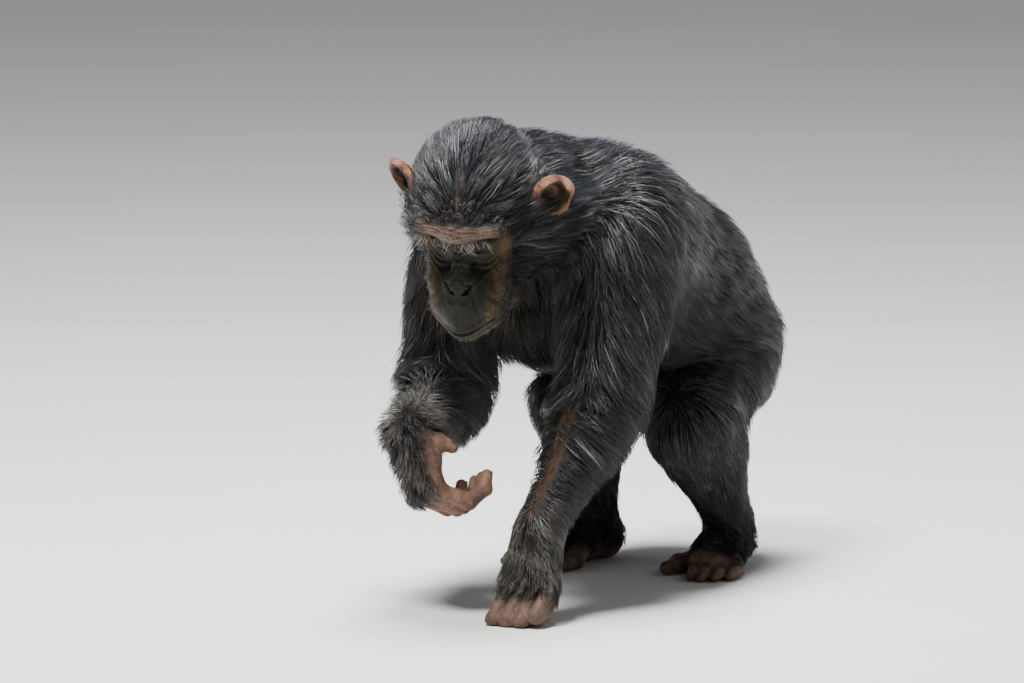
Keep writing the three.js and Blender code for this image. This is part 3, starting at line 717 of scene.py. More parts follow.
class SkinSettings(bpy.types.PropertyGroup):
    """Sizes and colours of the skin."""

    voxel: length_of("Mesh size", "Size of the skin's faces", 0.0029, 0.001)
    brow: colour_of("Brow", "the brow ridge", (0.098, 0.064, 0.052))
    muzzle: colour_of("Muzzle", "the muzzle", (0.0074, 0.0074, 0.0048))
    cheek: colour_of("Cheek", "the cheeks", (0.032, 0.020, 0.0055))
    lip: colour_of("Lips", "the lips", (0.058, 0.042, 0.029))
    ear: colour_of("Ears", "the ears", (0.52, 0.255, 0.175))
    finger: colour_of("Fingers", "fingers and toes", (0.150, 0.086, 0.060))
    # Near black: partly the skin's own dark tone, partly painted shade that shows between the hairs of the
    # coat.
    body: colour_of("Body", "the skin under the coat", (0.013, 0.011, 0.011))


class CoatSettings(bpy.types.PropertyGroup):
    """Amount, size and colours of the coat."""

    tufts: IntProperty(name="Tufts", description="Tufts of hair in the whole coat", default=86000, min=1000)
    width: length_of("Width", "Width of a tuft on the back", 0.0013, 0.0002)
    black: colour_of("Black", "the coat", (0.0078, 0.0070, 0.0063))
    brown: colour_of("Brown", "the brown hairs among the black", (0.034, 0.022, 0.012))
    grey: colour_of("Grey", "the grey hairs on the wrists", (0.080, 0.071, 0.062))
    pale: colour_of("Pale", "the chin hairs and brow bristles", (0.36, 0.32, 0.25))


def angle_of(name, description, degrees):
    return FloatProperty(name=name, description=description, default=math.radians(degrees), subtype="ANGLE")


class StageSettings(bpy.types.PropertyGroup):
    """Camera and light."""

    distance: length_of("Distance", "From the camera to the animal", 12.5, 1)
    lens: FloatProperty(name="Lens", description="Focal length", default=360, min=20, unit="CAMERA")
    azimuth: angle_of("Azimuth", "Camera's turn about the animal", 30)
    elevation: angle_of("Elevation", "Camera's height above the horizon", 8)
    floor: colour_of("Floor", "the floor", (0.70, 0.70, 0.68))


SETTINGS = {
    "chimp_skin_settings": SkinSettings,
    "chimp_coat_settings": CoatSettings,
    "chimp_stage_settings": StageSettings,
}


# Materials.
class Finish:
    """A material, its shader and the nodes that lead to it."""

    def __init__(self, name, constants):
        self.material = bpy.data.materials.new(name)
        self.material.use_nodes = True
        self.tree = self.material.node_tree
        self.shader = self.tree.nodes["Principled BSDF"]
        self.place = self.add("TexCoord", "Object")
        for socket, value in constants.items():
            self.shader.inputs[socket].default_value = value

    def put(self, socket, value):
        """Links a node's output to an input, or sets the input to a constant."""
        if isinstance(value, bpy.types.NodeSocket):
            self.tree.links.new(value, socket)
        else:
            socket.default_value = value

    def add(self, kind, output, *inputs, **settings):
        """Adds a node with its settings and its first inputs in order, and gives one output."""
        node = self.tree.nodes.new("ShaderNode" + kind)
        for key, value in settings.items():
            if key in node.inputs:
                self.put(node.inputs[key], value)
            else:
                setattr(node, key, value)
        for socket, value in zip(node.inputs, inputs):
            self.put(socket, value)
        return node.outputs[output]

    def tones(self, value, stops):
        """Base colour from a ramp of colours over a value."""
        colour = self.add("ValToRGB", "Color", value)
        elements = colour.node.color_ramp.elements
        for i, (place, tone) in enumerate(stops):
            stop = elements[i] if i < 2 else elements.new(place)
            stop.position, stop.color = place, (*tone, 1)
        self.put(self.shader.inputs["Base Color"], colour)

    def colour_by_tint(self, shade):
        """Base colour from the mesh's own tint, made lighter and darker by a texture."""
        tint = self.add("Attribute", "Color", attribute_name="tint")
        shaded = self.add("VectorMath", "Vector", tint, operation="SCALE", Scale=shade)
        self.put(self.shader.inputs["Base Color"], shaded)

    def bump(self, height, strength, depth):
        bump = self.add("Bump", "Normal", Strength=strength, Distance=depth, Height=height)
        self.put(self.shader.inputs["Normal"], bump)

    def rough(self, value, at_nought, at_one):
        spread = self.add("MapRange", "Result", value, 0.0, 1.0, at_nought, at_one)
        self.put(self.shader.inputs["Roughness"], spread)


def skin_material():
    skin = Finish("bare skin", {"Specular IOR Level": 0.14})
    mottle = skin.add("TexNoise", "Fac", skin.place, Scale=230.0, Detail=5.0, Roughness=0.62)
    specks = skin.add("TexVoronoi", "Distance", skin.place, Scale=520.0)
    pores = skin.add("TexVoronoi", "Distance", skin.place, Scale=900.0, feature="DISTANCE_TO_EDGE")
    creases = skin.add("TexNoise", "Fac", skin.place, Scale=420.0, Detail=6.0, Roughness=0.7)
    mottled = skin.add("MapRange", "Result", mottle, 0.3, 0.72, 0.62, 1.32)
    speckled = skin.add("MapRange", "Result", specks, 0.0, 0.55, 0.7, 1.08)
    skin.colour_by_tint(skin.add("Math", "Value", mottled, speckled, operation="MULTIPLY"))
    gloss = skin.add("Attribute", "Fac", attribute_name="gloss")
    skin.rough(gloss, 0.62, 0.3)
    skin.bump(skin.add("Math", "Value", pores, 0.6, creases, operation="MULTIPLY_ADD"), 0.35, 0.0006)
    return skin.material


def hair_material():
    constants = {
        "Specular IOR Level": 0.5,
        "Sheen Weight": 0.05,
        "Sheen Roughness": 0.4,
        "Sheen Tint": (0.62, 0.72, 1.0, 1.0),
    }
    hair = Finish("coat hair", constants)
    patches = hair.add("TexNoise", "Fac", hair.place, Scale=26.0, Detail=4.0, Roughness=0.6)
    strands = hair.add("TexNoise", "Fac", hair.place, Scale=420.0, Detail=2.0)
    hair.colour_by_tint(hair.add("MapRange", "Result", patches, 0.3, 0.7, 0.7, 1.35))
    hair.rough(strands, 0.29, 0.46)
    return hair.material


def hair():
    return bpy.data.materials.get("coat hair") or hair_material()


def eye_material():
    eye = Finish("eyeball", {"Roughness": 0.06, "Coat Weight": 0.6, "Coat Roughness": 0.03})
    flecks = eye.add("TexNoise", "Fac", eye.place, Scale=900.0, Detail=3.0)
    off_axis = eye.add("Attribute", "Fac", attribute_name="off_axis")
    turn = eye.add("Math", "Value", flecks, 0.03, off_axis, operation="MULTIPLY_ADD")
    stops = (
        (0.2, (0.002, 0.002, 0.002)),
        (0.235, (0.13, 0.050, 0.014)),
        (0.40, (0.085, 0.030, 0.009)),
        (0.47, (0.012, 0.006, 0.004)),
        (0.62, (0.060, 0.036, 0.024)),
    )
    eye.tones(turn, stops)
    return eye.material


def nail_material():
    nail = Finish("nail", {"Roughness": 0.33})
    grain = nail.add("TexNoise", "Fac", nail.place, Scale=650.0, Detail=4.0)
    nail.tones(grain, ((0.35, (0.025, 0.019, 0.015)), (0.7, (0.085, 0.062, 0.045))))
    nail.bump(grain, 0.3, 0.0003)
    return nail.material


def floor_material(tone):
    floor = Finish("studio floor", {"Roughness": 0.85})
    cloud = floor.add("TexNoise", "Fac", floor.place, Scale=3.0, Detail=3.0)
    floor.tones(cloud, ((0.0, tone * 0.96), (1.0, tone * 1.03)))
    return floor.material


# Skin. The brow's streaks are in radians for each millimetre round its ridge.
STREAKS = 1.55


def mouth_height(x):
    """Height of the line between the lips at a distance from the middle, in the head's frame."""
    return -61.5 + 5.0 * ramp(np.abs(x), 8, 46) + 0.35 * np.cos(x / 7)


def lips_share(side, y):
    """1 along the mouth, fading out past its corners."""
    turn = np.degrees(np.arctan2(side, np.maximum(y - 88, 1)))
    return ramp(y, 84, 96) * (1 - ramp(turn, 62, 84))


def along_ridge(x, y, z):
    """Way round the brow ridge, in millimetres, so that streaks run along it."""
    side = np.abs(x) / 49
    turn = np.arctan2(z - 49 + 4 * side, y - 82 + 10 * side)
    return 10.5 * turn + 1.0 * np.sin(x * 0.16) + 0.5 * np.sin(x * 0.43 + 1)


def carve_face(q, normal_q):
    """Moves points of the face, in the head's frame, for lips, folds and wrinkles."""
    x, y, z = q.T
    side = np.abs(x)
    amount = np.zeros(len(q))
    # Mouth: a deep line between two rolled lips, ending in a small fold.
    front = lips_share(side, y)
    off = z - mouth_height(x)
    amount += front * (1.7 * hump(off - 4.2, 2.6) + 2.3 * hump(off + 4.6, 3.0) - 6.0 * hump(off, 1.7))
    # Upper lip: fine upright wrinkles and a shallow middle groove.
    lip = ramp(y, 92, 108) * ramp(off, 5, 12) * (1 - ramp(z, -36, -24))
    amount += 0.34 * lip * np.sin(x * 1.45 + 0.8 * np.sin(z * 0.22 + x * 0.11))
    amount -= 1.1 * lip * hump(x, 2.2) * ramp(-z, 22, 30)
    for s in (-1, 1):
        # Nose: rims round the nostrils, a crease over the wings and one down from each wing.
        rim = np.hypot(x * s - 7.5, z + 15.5) - 8.6
        amount += 0.9 * hump(rim, 1.9) * ramp(y, 96, 106)
        crease = x * s - (17 + 0.34 * (-14 - z))
        amount -= 1.5 * hump(crease, 2.0) * ramp(y, 70, 84) * band(-z, 6, 18, 40, 60)
        # Curved folds under and over the eyes.
        u, v = x * s - EYE["x"], z - EYE["z"]
        r = np.hypot(u / 1.15, v * 1.05)
        amount += 0.62 * ramp(-v, -1, 7) * band(r, 12, 15, 27, 34) * np.sin((r - 12) * 1.25)
        amount += 0.4 * ramp(v, 1, 6) * band(r, 10, 12, 17, 21) * np.sin((r - 10) * 1.5)
    # Brow: streaks that run along the ridge, and short upright creases between the eyes.
    ridge = band(z, 33, 40, 57, 64) * ramp(y, 50, 60) * (1 - ramp(side, 54, 62))
    amount += 0.45 * ridge * np.sin(along_ridge(x, y, z) * STREAKS)
    middle = hump(x, 9) * band(z, 8, 18, 36, 44) * ramp(y, 60, 74)
    amount += 0.5 * middle * np.sin(z * 1.1 + 0.5 * np.sin(x * 0.5))
    bridge = hump(x, 13) * ramp(y, 84, 92) * band(-z, -18, -8, 2, 10)
    amount += 0.3 * bridge * np.sin(z * 1.6 + 0.08 * x * x)
    # Cheeks: slanting creases from the eye's corner to the mouth's.
    cheek = ramp(side, 26, 34) * ramp(y, 46, 62) * band(-z, -2, 8, 50, 62)
    amount += 0.45 * cheek * np.sin((side + 0.55 * z) * 0.85 + 0.6 * np.sin(z * 0.2))
    return q + normal_q * amount[:, None]


def wrinkle_digits(p, normal):
    """Rings across the joints of fingers, thumbs and toes."""
    chains = []
    for hand in HAND.values():
        chains += [(points, 9.0) for points in hand.fingers.values()] + [(hand.thumb, 10.0)]
    for foot in FOOT.values():
        chains += [(points, 7.5) for points in foot.toes.values()] + [(foot.big_toe, 11.5)]
    amount = np.zeros(len(p))
    for points, radius in chains:
        for before, joint, after in zip(points, points[1:], points[2:]):
            r = p - joint
            t = r @ unit(unit(joint - before) + unit(after - joint))
            near = 1 - ramp(norms(r), radius * 1.25, radius * 1.9)
            amount += near * (0.55 * hump(t, 6) + 0.32 * np.cos(t * 1.9) * hump(t, 5))
    return p + normal * amount[:, None]


def vertex_normals(mesh):
    flat = np.empty(len(mesh.vertices) * 3, np.float32)
    mesh.vertex_normals.foreach_get("vector", flat)
    return flat.reshape(-1, 3).astype(float)


def mix(a, b, share):
    return a + (b - a) * share[:, None]


def paint(base, tone, share, most=1.0):
    """Lays one tone over the colours as far as the share says."""
    return mix(base, vec(*tone), np.clip(share, 0, 1) * most)


def face_tints(q, settings, noise, fine):
    """Colours of the bare face, and where the lower lip shines."""
    x, y, z = q.T
    side = np.abs(x)
    base = np.tile(vec(*settings.muzzle), (len(q), 1))
    base = paint(base, (0.011, 0.0095, 0.006), band(z, -12, 10, 30, 38), 0.85)
    cheek = ramp(side, 25, 40) * band(-z, -34, -8, 52, 70)
    base = paint(base, settings.cheek, cheek * (0.75 + 0.4 * noise))
    corner = np.exp(-(((side - 33) / 13) ** 2 + ((z + 50) / 13) ** 2))
    base = paint(base, (0.085, 0.042, 0.014), np.minimum(corner * (0.22 + 0.9 * fine), 0.7))
    rim = ramp(side, 32, 46) * ramp(z, -4, 6) * (1 - ramp(z, 32, 40) * (1 - ramp(side, 44, 54)))
    base = paint(base, (0.050, 0.027, 0.009), rim, 0.7)
    ridge = ramp(z, 33, 42) * ramp(y, 46, 58) * (1 - 0.75 * ramp(side, 38, 56))
    # Brow lighter on the raised streaks and darker in the creases between them: painted shade in the creases
    # over its own colour.
    fold_shading = 0.5 + 0.5 * np.sin(along_ridge(x, y, z) * STREAKS)
    brow = vec(*settings.brow) * (0.55 + 0.8 * fold_shading + 0.35 * fine)[:, None]
    base = mix(base, brow, ridge)
    off = z - mouth_height(x)
    front = lips_share(side, y)
    lower = front * hump(off + 4.4, 3.4)
    chin = ramp(-z, 76, 90) * ramp(y, 60, 80)
    groove = hump(x, 1.5) * band(-z, 23, 27, 40, 50) * ramp(y, 100, 112)
    for tone, share, most in (
        (settings.lip, lower, 0.9),
        ((0.045, 0.034, 0.030), front * hump(off - 3.2, 2.0), 0.7),
        # Painted shade in the line between the lips.
        ((0.004, 0.003, 0.003), front * hump(off, 1.5) * 1.4, 1.0),
        ((0.085, 0.055, 0.030), chin, 0.7),
        # Painted shade in the upper lip's middle groove.
        ((0.006, 0.006, 0.005), groove, 0.6),
    ):
        base = paint(base, tone, share, most)
    for s in (-1, 1):
        # Painted shade inside the nostrils.
        base = paint(base, (0.003, 0.002, 0.002), 1 - ramp(NOSTRILS[s](q), -0.4, 1.1))
        # Painted shade round the eyes, under the overhanging brow.
        lid = np.hypot((x - s * EYE["x"]) / 1.1, z - EYE["z"] + 2)
        base = paint(base, (0.016, 0.012, 0.008), (1 - ramp(lid, 9, 17)) * ramp(y, 60, 70), 0.6)
    return base, lower


def wander(p, scale, seed):
    """Smooth, repeatable noise from a few crossed waves, from -1 to 1."""
    rng = np.random.default_rng(seed)
    total = np.zeros(len(p))
    for _ in range(6):
        way = unit(rng.normal(size=3)) / scale * rng.uniform(0.7, 1.5)
        total += np.sin(p @ way * 2 * math.pi + rng.uniform(0, 6.3) + 1.3 * np.sin(p @ way[[1, 2, 0]] * 4))
    return total / 6 * 1.6


def skin_tints(p, settings):
    """Colour and gloss of the skin at each point."""
    q = to_head(p)
    x, y, z = q.T
    noise, fine = wander(p, 24, 3), wander(p, 7, 5)
    # Skin under the coat near black: partly its own tone, partly painted shade between the hairs.
    colour = np.tile(vec(*settings.body), (len(p), 1))
    # Scalp, thinly haired in front, with two pale creases.
    scalp = (HEAD(p) < 4) & (norms(q) < HEAD_REACH)
    thin = np.where(scalp, ramp(y, 10, 60) * hump(x, 12), 0) * ramp(z, 50, 62)
    colour = paint(colour, (0.022, 0.016, 0.014), thin, 0.8)
    height = seen_height(q)
    for middle, low, top in ((2.0, -16, 18), (-2.5, 10, 36)):
        crease = hump(x - middle - 1.2 * np.sin(z / 4), 1.1) * band(height, low - 4, low, top, top + 4)
        colour = paint(colour, (0.19, 0.145, 0.125), crease * scalp * (z > CROWN), 0.5)
    face = face_share(q) * scalp
    base, lower = face_tints(q, settings, noise, fine)
    colour = mix(colour, base * (1 + 0.22 * noise)[:, None], face)
    gloss = 0.1 + face * (0.28 + 0.20 * ramp(y, 90, 130))
    gloss = np.maximum(gloss, lower * face * 0.8)
    # Ears: only the part that stands clear of the head is bare.
    for ear in EARS.values():
        a, b, h = ear.local(q)
        rho = np.hypot(a / EAR["wide"], b / EAR["tall"])
        inner = (1 - ramp(rho + 0.06 * noise, 0.64, 0.88)) * ramp(h, -14, -8)
        shell = np.tile(vec(*settings.ear), (len(p), 1))
        shell = paint(shell, (0.11, 0.055, 0.018), ramp(-b, 4, 22), 0.8)
        # The inside of the bowl darkened nearly to black: painted shade.
        shell = paint(shell, (0.007, 0.004, 0.002), inner, 0.96)
        clear = ear.bare(p) * ramp(HEAD(p), 2, 9)
        colour = mix(colour, shell * (1 + 0.25 * noise + 0.12 * fine)[:, None], clear)
        gloss = np.maximum(gloss, clear * 0.5)
    # Fingers, palms, toes and soles, darker near the floor and on the knuckles.
    bare = digits_share(p)
    paw = vec(*settings.finger) * (1 + 0.35 * noise + 0.2 * fine)[:, None]
    paw = paint(paw, (0.070, 0.045, 0.036), 1 - ramp(p[:, 2], 60, 120), 0.55)
    for hand in HAND.values():
        for points in hand.fingers.values():
            pad = hump(norms(p - along(points[1], points[2], 0.35)), 13)
            paw = paint(paw, (0.085, 0.060, 0.050), pad * 1.5, 0.6)
            gloss = np.maximum(gloss, pad * 0.85)
    colour = mix(colour, paw, bare)
    gloss = np.maximum(gloss, bare * 0.42)
    for name in SIDES:
        strip = vec(0.048, 0.026, 0.014) * (1 + 0.5 * fine)[:, None]
        colour = mix(colour, strip, forearm_strip(p, name) * 0.8)
    return np.clip(colour, 0.001, 1), np.clip(gloss, 0, 1)


def forearm_strip(p, name):
    """1 on the thinly haired strip at the inner front of a forearm."""
    elbow, wrist = JOINTS[name]["elbow"], JOINTS[name]["wrist"]
    axis = wrist - elbow
    t = along_of(p, elbow, wrist)
    r = unit(p - elbow - t[:, None] * axis)
    facing = vec(-0.22 * SIDES[name], -0.99, 0.0)
    facing = unit(facing - (facing @ axis) / (axis @ axis) * axis)
    near = 1 - ramp(REGIONS["forearm_" + name](p), 6, 12)
    return ramp(r @ facing, 0.90, 0.99) * band(t, -0.04, 0.14, 0.92, 1.05) * near


FLESH_NODES = [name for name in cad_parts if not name.startswith("eye_")]


class OBJECT_OT_chimp_skin(bpy.types.Operator):
    """Build the one skin of the animal, with its face, ears, hands and feet"""

    bl_idname = "object.chimp_skin"
    bl_label = "Skin"

    def execute(self, context):
        settings = context.scene.chimp_skin_settings
        clear_selection()
        made = []
        for name, form in REGIONS.items():
            place = (from_head, HEAD_TURN) if name == "head" else ()
            for mass in all_masses(form):
                made += add_mass(mass, *place)
        for lid in LIDS:
            made += add_mass(lid, from_head, HEAD_TURN)
        for ear in EARS.values():
            made += self.add_ear(ear)
        skin = join_all(made)
        bpy.ops.object.transform_apply(location=True, rotation=True, scale=True)
        skin.name = skin.data.name = "skin"
        remesh = skin.modifiers.new("one surface", "REMESH")
        remesh.mode, remesh.voxel_size = "VOXEL", settings.voxel * 1000
        remesh.use_smooth_shade = True
        bpy.ops.object.modifier_apply(modifier=remesh.name)
        skin = keep_largest(skin)
        self.thin_under_coat(skin)
        press_to_surface(skin.data, 3)
        in_edit_mode(skin, lambda: bpy.ops.mesh.vertices_smooth(factor=0.5, repeat=2), mode="VERT")
        press_to_surface(skin.data, 2)
        self.refine_face(skin)
        press_to_surface(skin.data, 2, most=2.0, step=0.3)
        self.carve(skin)
        points = read_points(skin.data)
        points[:, 2] = np.maximum(points[:, 2], FLOOR_GAP)
        tints, gloss = in_chunks(lambda part: skin_tints(part, settings), points)
        write_points(skin.data, metres(points))
        add_tint(skin.data, "tint", tints)
        add_value(skin.data, "gloss", gloss)
        make_active(skin)
        bpy.ops.object.shade_smooth()
        skin.data.materials.clear()
        skin.data.materials.append(skin_material())
        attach(skin, "root")
        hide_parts(*FLESH_NODES)
        return {"FINISHED"}

    def add_ear(self, ear):
        """A ball with a bowl cut out of it, and the foot that joins it to the head."""
        turn = HEAD_TURN @ np.column_stack((ear.across, ear.up, ear.opening))
        centre, opening = from_head(ear.centre), HEAD_TURN @ ear.opening
        wide, tall = EAR["wide"], EAR["tall"]
        cup = add_ball(centre - opening * 4, (wide + 1, tall + 1, 11), turn)
        hollow = add_ball(centre + opening * 9, (wide - 5, tall - 5, 15), turn)
        carve = cup.modifiers.new("bowl", "BOOLEAN")
        carve.operation, carve.solver, carve.object = "DIFFERENCE", "EXACT", hollow
        make_active(cup)
        bpy.ops.object.modifier_apply(modifier=carve.name)
        bpy.data.objects.remove(hollow)
        return [cup, *add_mass(ear.stalk, from_head)]

    def thin_under_coat(self, skin):
        """Takes most of the faces away where the coat will cover them."""
        points = read_points(skin.data)
        q = to_head(points)
        near = norms(q) < HEAD_REACH
        ears = near & (np.min([ear(points) for ear in EARS.values()], axis=0) < 7)
        paws = np.min([REGIONS[n](points) for n in NAMES if n.startswith(("hand", "foot"))], axis=0) < 4
        face = near & (q[:, 1] > 34) & (np.abs(q[:, 0]) < 62) & (q[:, 2] > -108) & (q[:, 2] < 70)
        covered = ~(ears | paws | face)
        group = skin.vertex_groups.new(name="under coat")
        group.add(np.flatnonzero(covered).tolist(), 1.0, "REPLACE")
        thin = skin.modifiers.new("coarser", "DECIMATE")
        thin.vertex_group = group.name
        thin.ratio = 1 - covered.mean() * 0.9
        make_active(skin)
        bpy.ops.object.modifier_apply(modifier=thin.name)
        skin.vertex_groups.clear()

    def refine_face(self, skin):
        """Halves the faces of the bare face and the ears."""
        centres = face_centres(skin.data)
        q = to_head(centres)
        head = HEAD(centres)
        face = (q[:, 1] > 40) & (np.abs(q[:, 0]) < 60) & (q[:, 2] > -104) & (q[:, 2] < 66) & (head < 6)
        ears = (np.min([ear(centres) for ear in EARS.values()], axis=0) < 5) & (head > 1)
        in_edit_mode(skin, lambda: bpy.ops.mesh.subdivide(number_cuts=1), chosen=face | ears)

    def carve(self, skin):
        points = read_points(skin.data)
        normals = vertex_normals(skin.data)
        points = wrinkle_digits(points, normals)
        q = to_head(points)
        bare = face_share(q) * (norms(q) < HEAD_REACH)
        chosen = bare > 0
        moved = carve_face(q[chosen], normals[chosen] @ HEAD_TURN)
        q[chosen] += (moved - q[chosen]) * bare[chosen][:, None]
        points[chosen] = from_head(q[chosen])
        write_points(skin.data, points)


def keep_largest(obj):
    """Drops every loose scrap but the largest closed surface."""
    in_edit_mode(obj, lambda: bpy.ops.mesh.separate(type="LOOSE"))
    parts = [o for o in bpy.context.selected_objects if o.type == "MESH"]
    best = max(parts, key=lambda o: len(o.data.vertices))
    for part in parts:
        if part is not best:
            bpy.data.objects.remove(part)
    make_active(best)
    return best


# Eyes and nails.
class OBJECT_OT_chimp_eyes(bpy.types.Operator):
    """Build the two eyeballs, each with its iris and raised cornea"""

    bl_idname = "object.chimp_eyes"
    bl_label = "Eyes"

    def execute(self, context):
        material = eye_material()
        for name, s in (("left", -1), ("right", 1)):
            clear_selection()
            bpy.ops.mesh.primitive_uv_sphere_add(segments=48, ring_count=32, radius=EYE["radius"])
            eye = context.object
            eye.name = eye.data.name = "eyeball_" + name
            way = unit(read_points(eye.data))
            gaze = unit(vec(0.02 * s, 1, -0.30))
            angle = np.arccos(np.clip(way @ gaze, -1, 1))
            cornea = 0.54 * np.maximum(0, 1 - (angle / 0.62) ** 2)
            points = way * (EYE["radius"] - 0.25 + cornea)[:, None]
            points += vec(s * EYE["x"], EYE["y"], EYE["z"])
            write_points(eye.data, metres(from_head(points)))
            add_value(eye.data, "off_axis", angle)
            make_active(eye)
            bpy.ops.object.shade_smooth()
            eye.data.materials.append(material)
            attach(eye, "root")
            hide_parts("eye_" + name)
        return {"FINISHED"}


class OBJECT_OT_chimp_nails(bpy.types.Operator):
    """Build the nails of fingers, thumbs and toes from one nail"""

    bl_idname = "object.chimp_nails"
    bl_label = "Nails"

    def execute(self, context):
        clear_selection()
        bpy.ops.mesh.primitive_grid_add(x_subdivisions=8, y_subdivisions=8, size=2)
        nail = context.object
        nail.name = "nail"
        across, down, _ = read_points(nail.data).T
        turn = across * 1.05
        height = np.cos(turn) - 0.10 * down**2 * (down > 0)
        write_points(nail.data, np.stack((np.sin(turn), down * (1 - 0.16 * across**2), height), 1))
        shell = nail.modifiers.new("thickness", "SOLIDIFY")
        shell.thickness, shell.offset = 0.16, 0
        rounded = nail.modifiers.new("rounded", "SUBSURF")
        rounded.levels = rounded.render_levels = 1
        make_active(nail)
        for modifier in (shell.name, rounded.name):
            bpy.ops.object.modifier_apply(modifier=modifier)
        copies = []
        for a, b, back, radius in self.tips():
            way = unit(b - a)
            up = unit(back - (back @ way) * way)
            copy = bpy.data.objects.new("nail copy", nail.data.copy())
            context.collection.objects.link(copy)
            local = read_points(copy.data) * vec(radius * 0.72, radius * 0.72, radius)
            place = b + way * radius * 0.05 + up * 0.1 + local @ np.stack((np.cross(way, up), way, up))
            write_points(copy.data, metres(place))
            copies.append(copy)
        bpy.data.objects.remove(nail)
        nails = join_all(copies)
        nails.name = nails.data.name = "nails"
        in_edit_mode(nails, lambda: bpy.ops.mesh.normals_make_consistent(inside=False))
        bpy.ops.object.shade_smooth()
        nails.data.materials.append(nail_material())
        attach(nails, "root")
        return {"FINISHED"}

    def tips(self):
        """The last joint, the tip, the way out of the back and the radius of each digit."""
        for hand in HAND.values():
            for finger, points in hand.fingers.items():
                yield *points[-2:], hand.backs[finger], FINGER_RADII[-1] + 0.2
            yield *hand.thumb[1:], hand.backs["thumb"], 7.6
        for foot in FOOT.values():
            for points in foot.toes.values():
                yield *points[1:], UP, 5.9
            yield *foot.big_toe[1:], UP, 8.8


# Coat. Each region has its own lie, length, depth, width and share of the hairs.
def head_way(way):
    """A way in the head's frame, turned into the animal's."""
    return way @ HEAD_TURN.T


def trunk_lie(p, side):
    low = np.clip((330 - p[:, 2]) / 120, 0, 1)
    return np.stack((0.0015 * p[:, 0], np.ones(len(p)), -0.62 * (1 - low) - 0.18), 1)


def neck_lie(p, side):
    down = -0.35 - 0.004 * np.maximum(470 - p[:, 2], 0)
    return np.stack((0.004 * p[:, 0], np.ones(len(p)), down), 1)


def head_lie(p, side):
    x, _, z = to_head(p).T
    down = -0.1 - 0.7 * np.clip((20 - z) / 60, 0, 1)
    return head_way(np.stack((0.010 * x, -np.ones(len(p)), down), 1))


def steady(*way):
    """A lie that is the same all over a region, mirrored from side to side."""

    def lie(p, side):
        return np.tile(vec(way[0] * side, way[1], way[2]), (len(p), 1))

    return lie


def hand_lie(p, side):
    hand = HAND["left" if side > 0 else "right"]
    r = p - hand.wrist
    across = (r @ hand.r)[:, None] * hand.r
    return hand.m + across * 0.02 - hand.n * 0.25 + vec(0, 0.25, 0)


def foot_lie(p, side):
    foot = FOOT["left" if side > 0 else "right"]
    return np.tile(foot.forward - vec(0, 0, 0.2), (len(p), 1))


# Of each region: the lie, length, tip's depth as a share of the coat, extra depth, width and density.
REGION_HAIR = {
    "trunk": (trunk_lie, 84, 0.98, 0, 1.0, 1.0),
    "neck": (neck_lie, 72, 0.95, 0, 0.9, 1.25),
    "head": (head_lie, 46, 0.80, 0, 0.68, 2.1),
    "upper_arm": (steady(0.12, 0.55, -1), 90, 1.0, 6, 1.0, 1.1),
    "forearm": (steady(0.2, 0.9, -0.75), 64, 0.98, 0, 0.9, 1.2),
    "hand": (hand_lie, 27, 1.0, 9, 0.56, 2.8),
    "thigh": (steady(0.1, 0.75, -1), 80, 0.98, 0, 1.0, 1.0),
    "shank": (steady(0.1, 0.6, -1), 52, 0.98, 0, 0.9, 1.15),
    "foot": (foot_lie, 17, 1.0, 2.5, 0.62, 1.3),
}


def region_kind(name):
    return name.replace("_left", "").replace("_right", "")


def weight_of(weights, name):
    return weights[:, NAMES.index(name)]


def region_weights(p):
    """How much each region has to say at a point, shared out softly where regions meet."""
    d = region_distances(p)
    w = np.exp(-(d - d.min(1, keepdims=True)) / MEETING)
    return w / w.sum(1, keepdims=True)


# How much shorter the hair is at a wrist, and how far it stands out there.
WRIST_HAIR = {"left": (0.35, -2), "right": (0.45, 12)}


def near_wrist(p, name):
    return 1 - ramp(norms(p - JOINTS[name]["wrist"]), 28, 74)


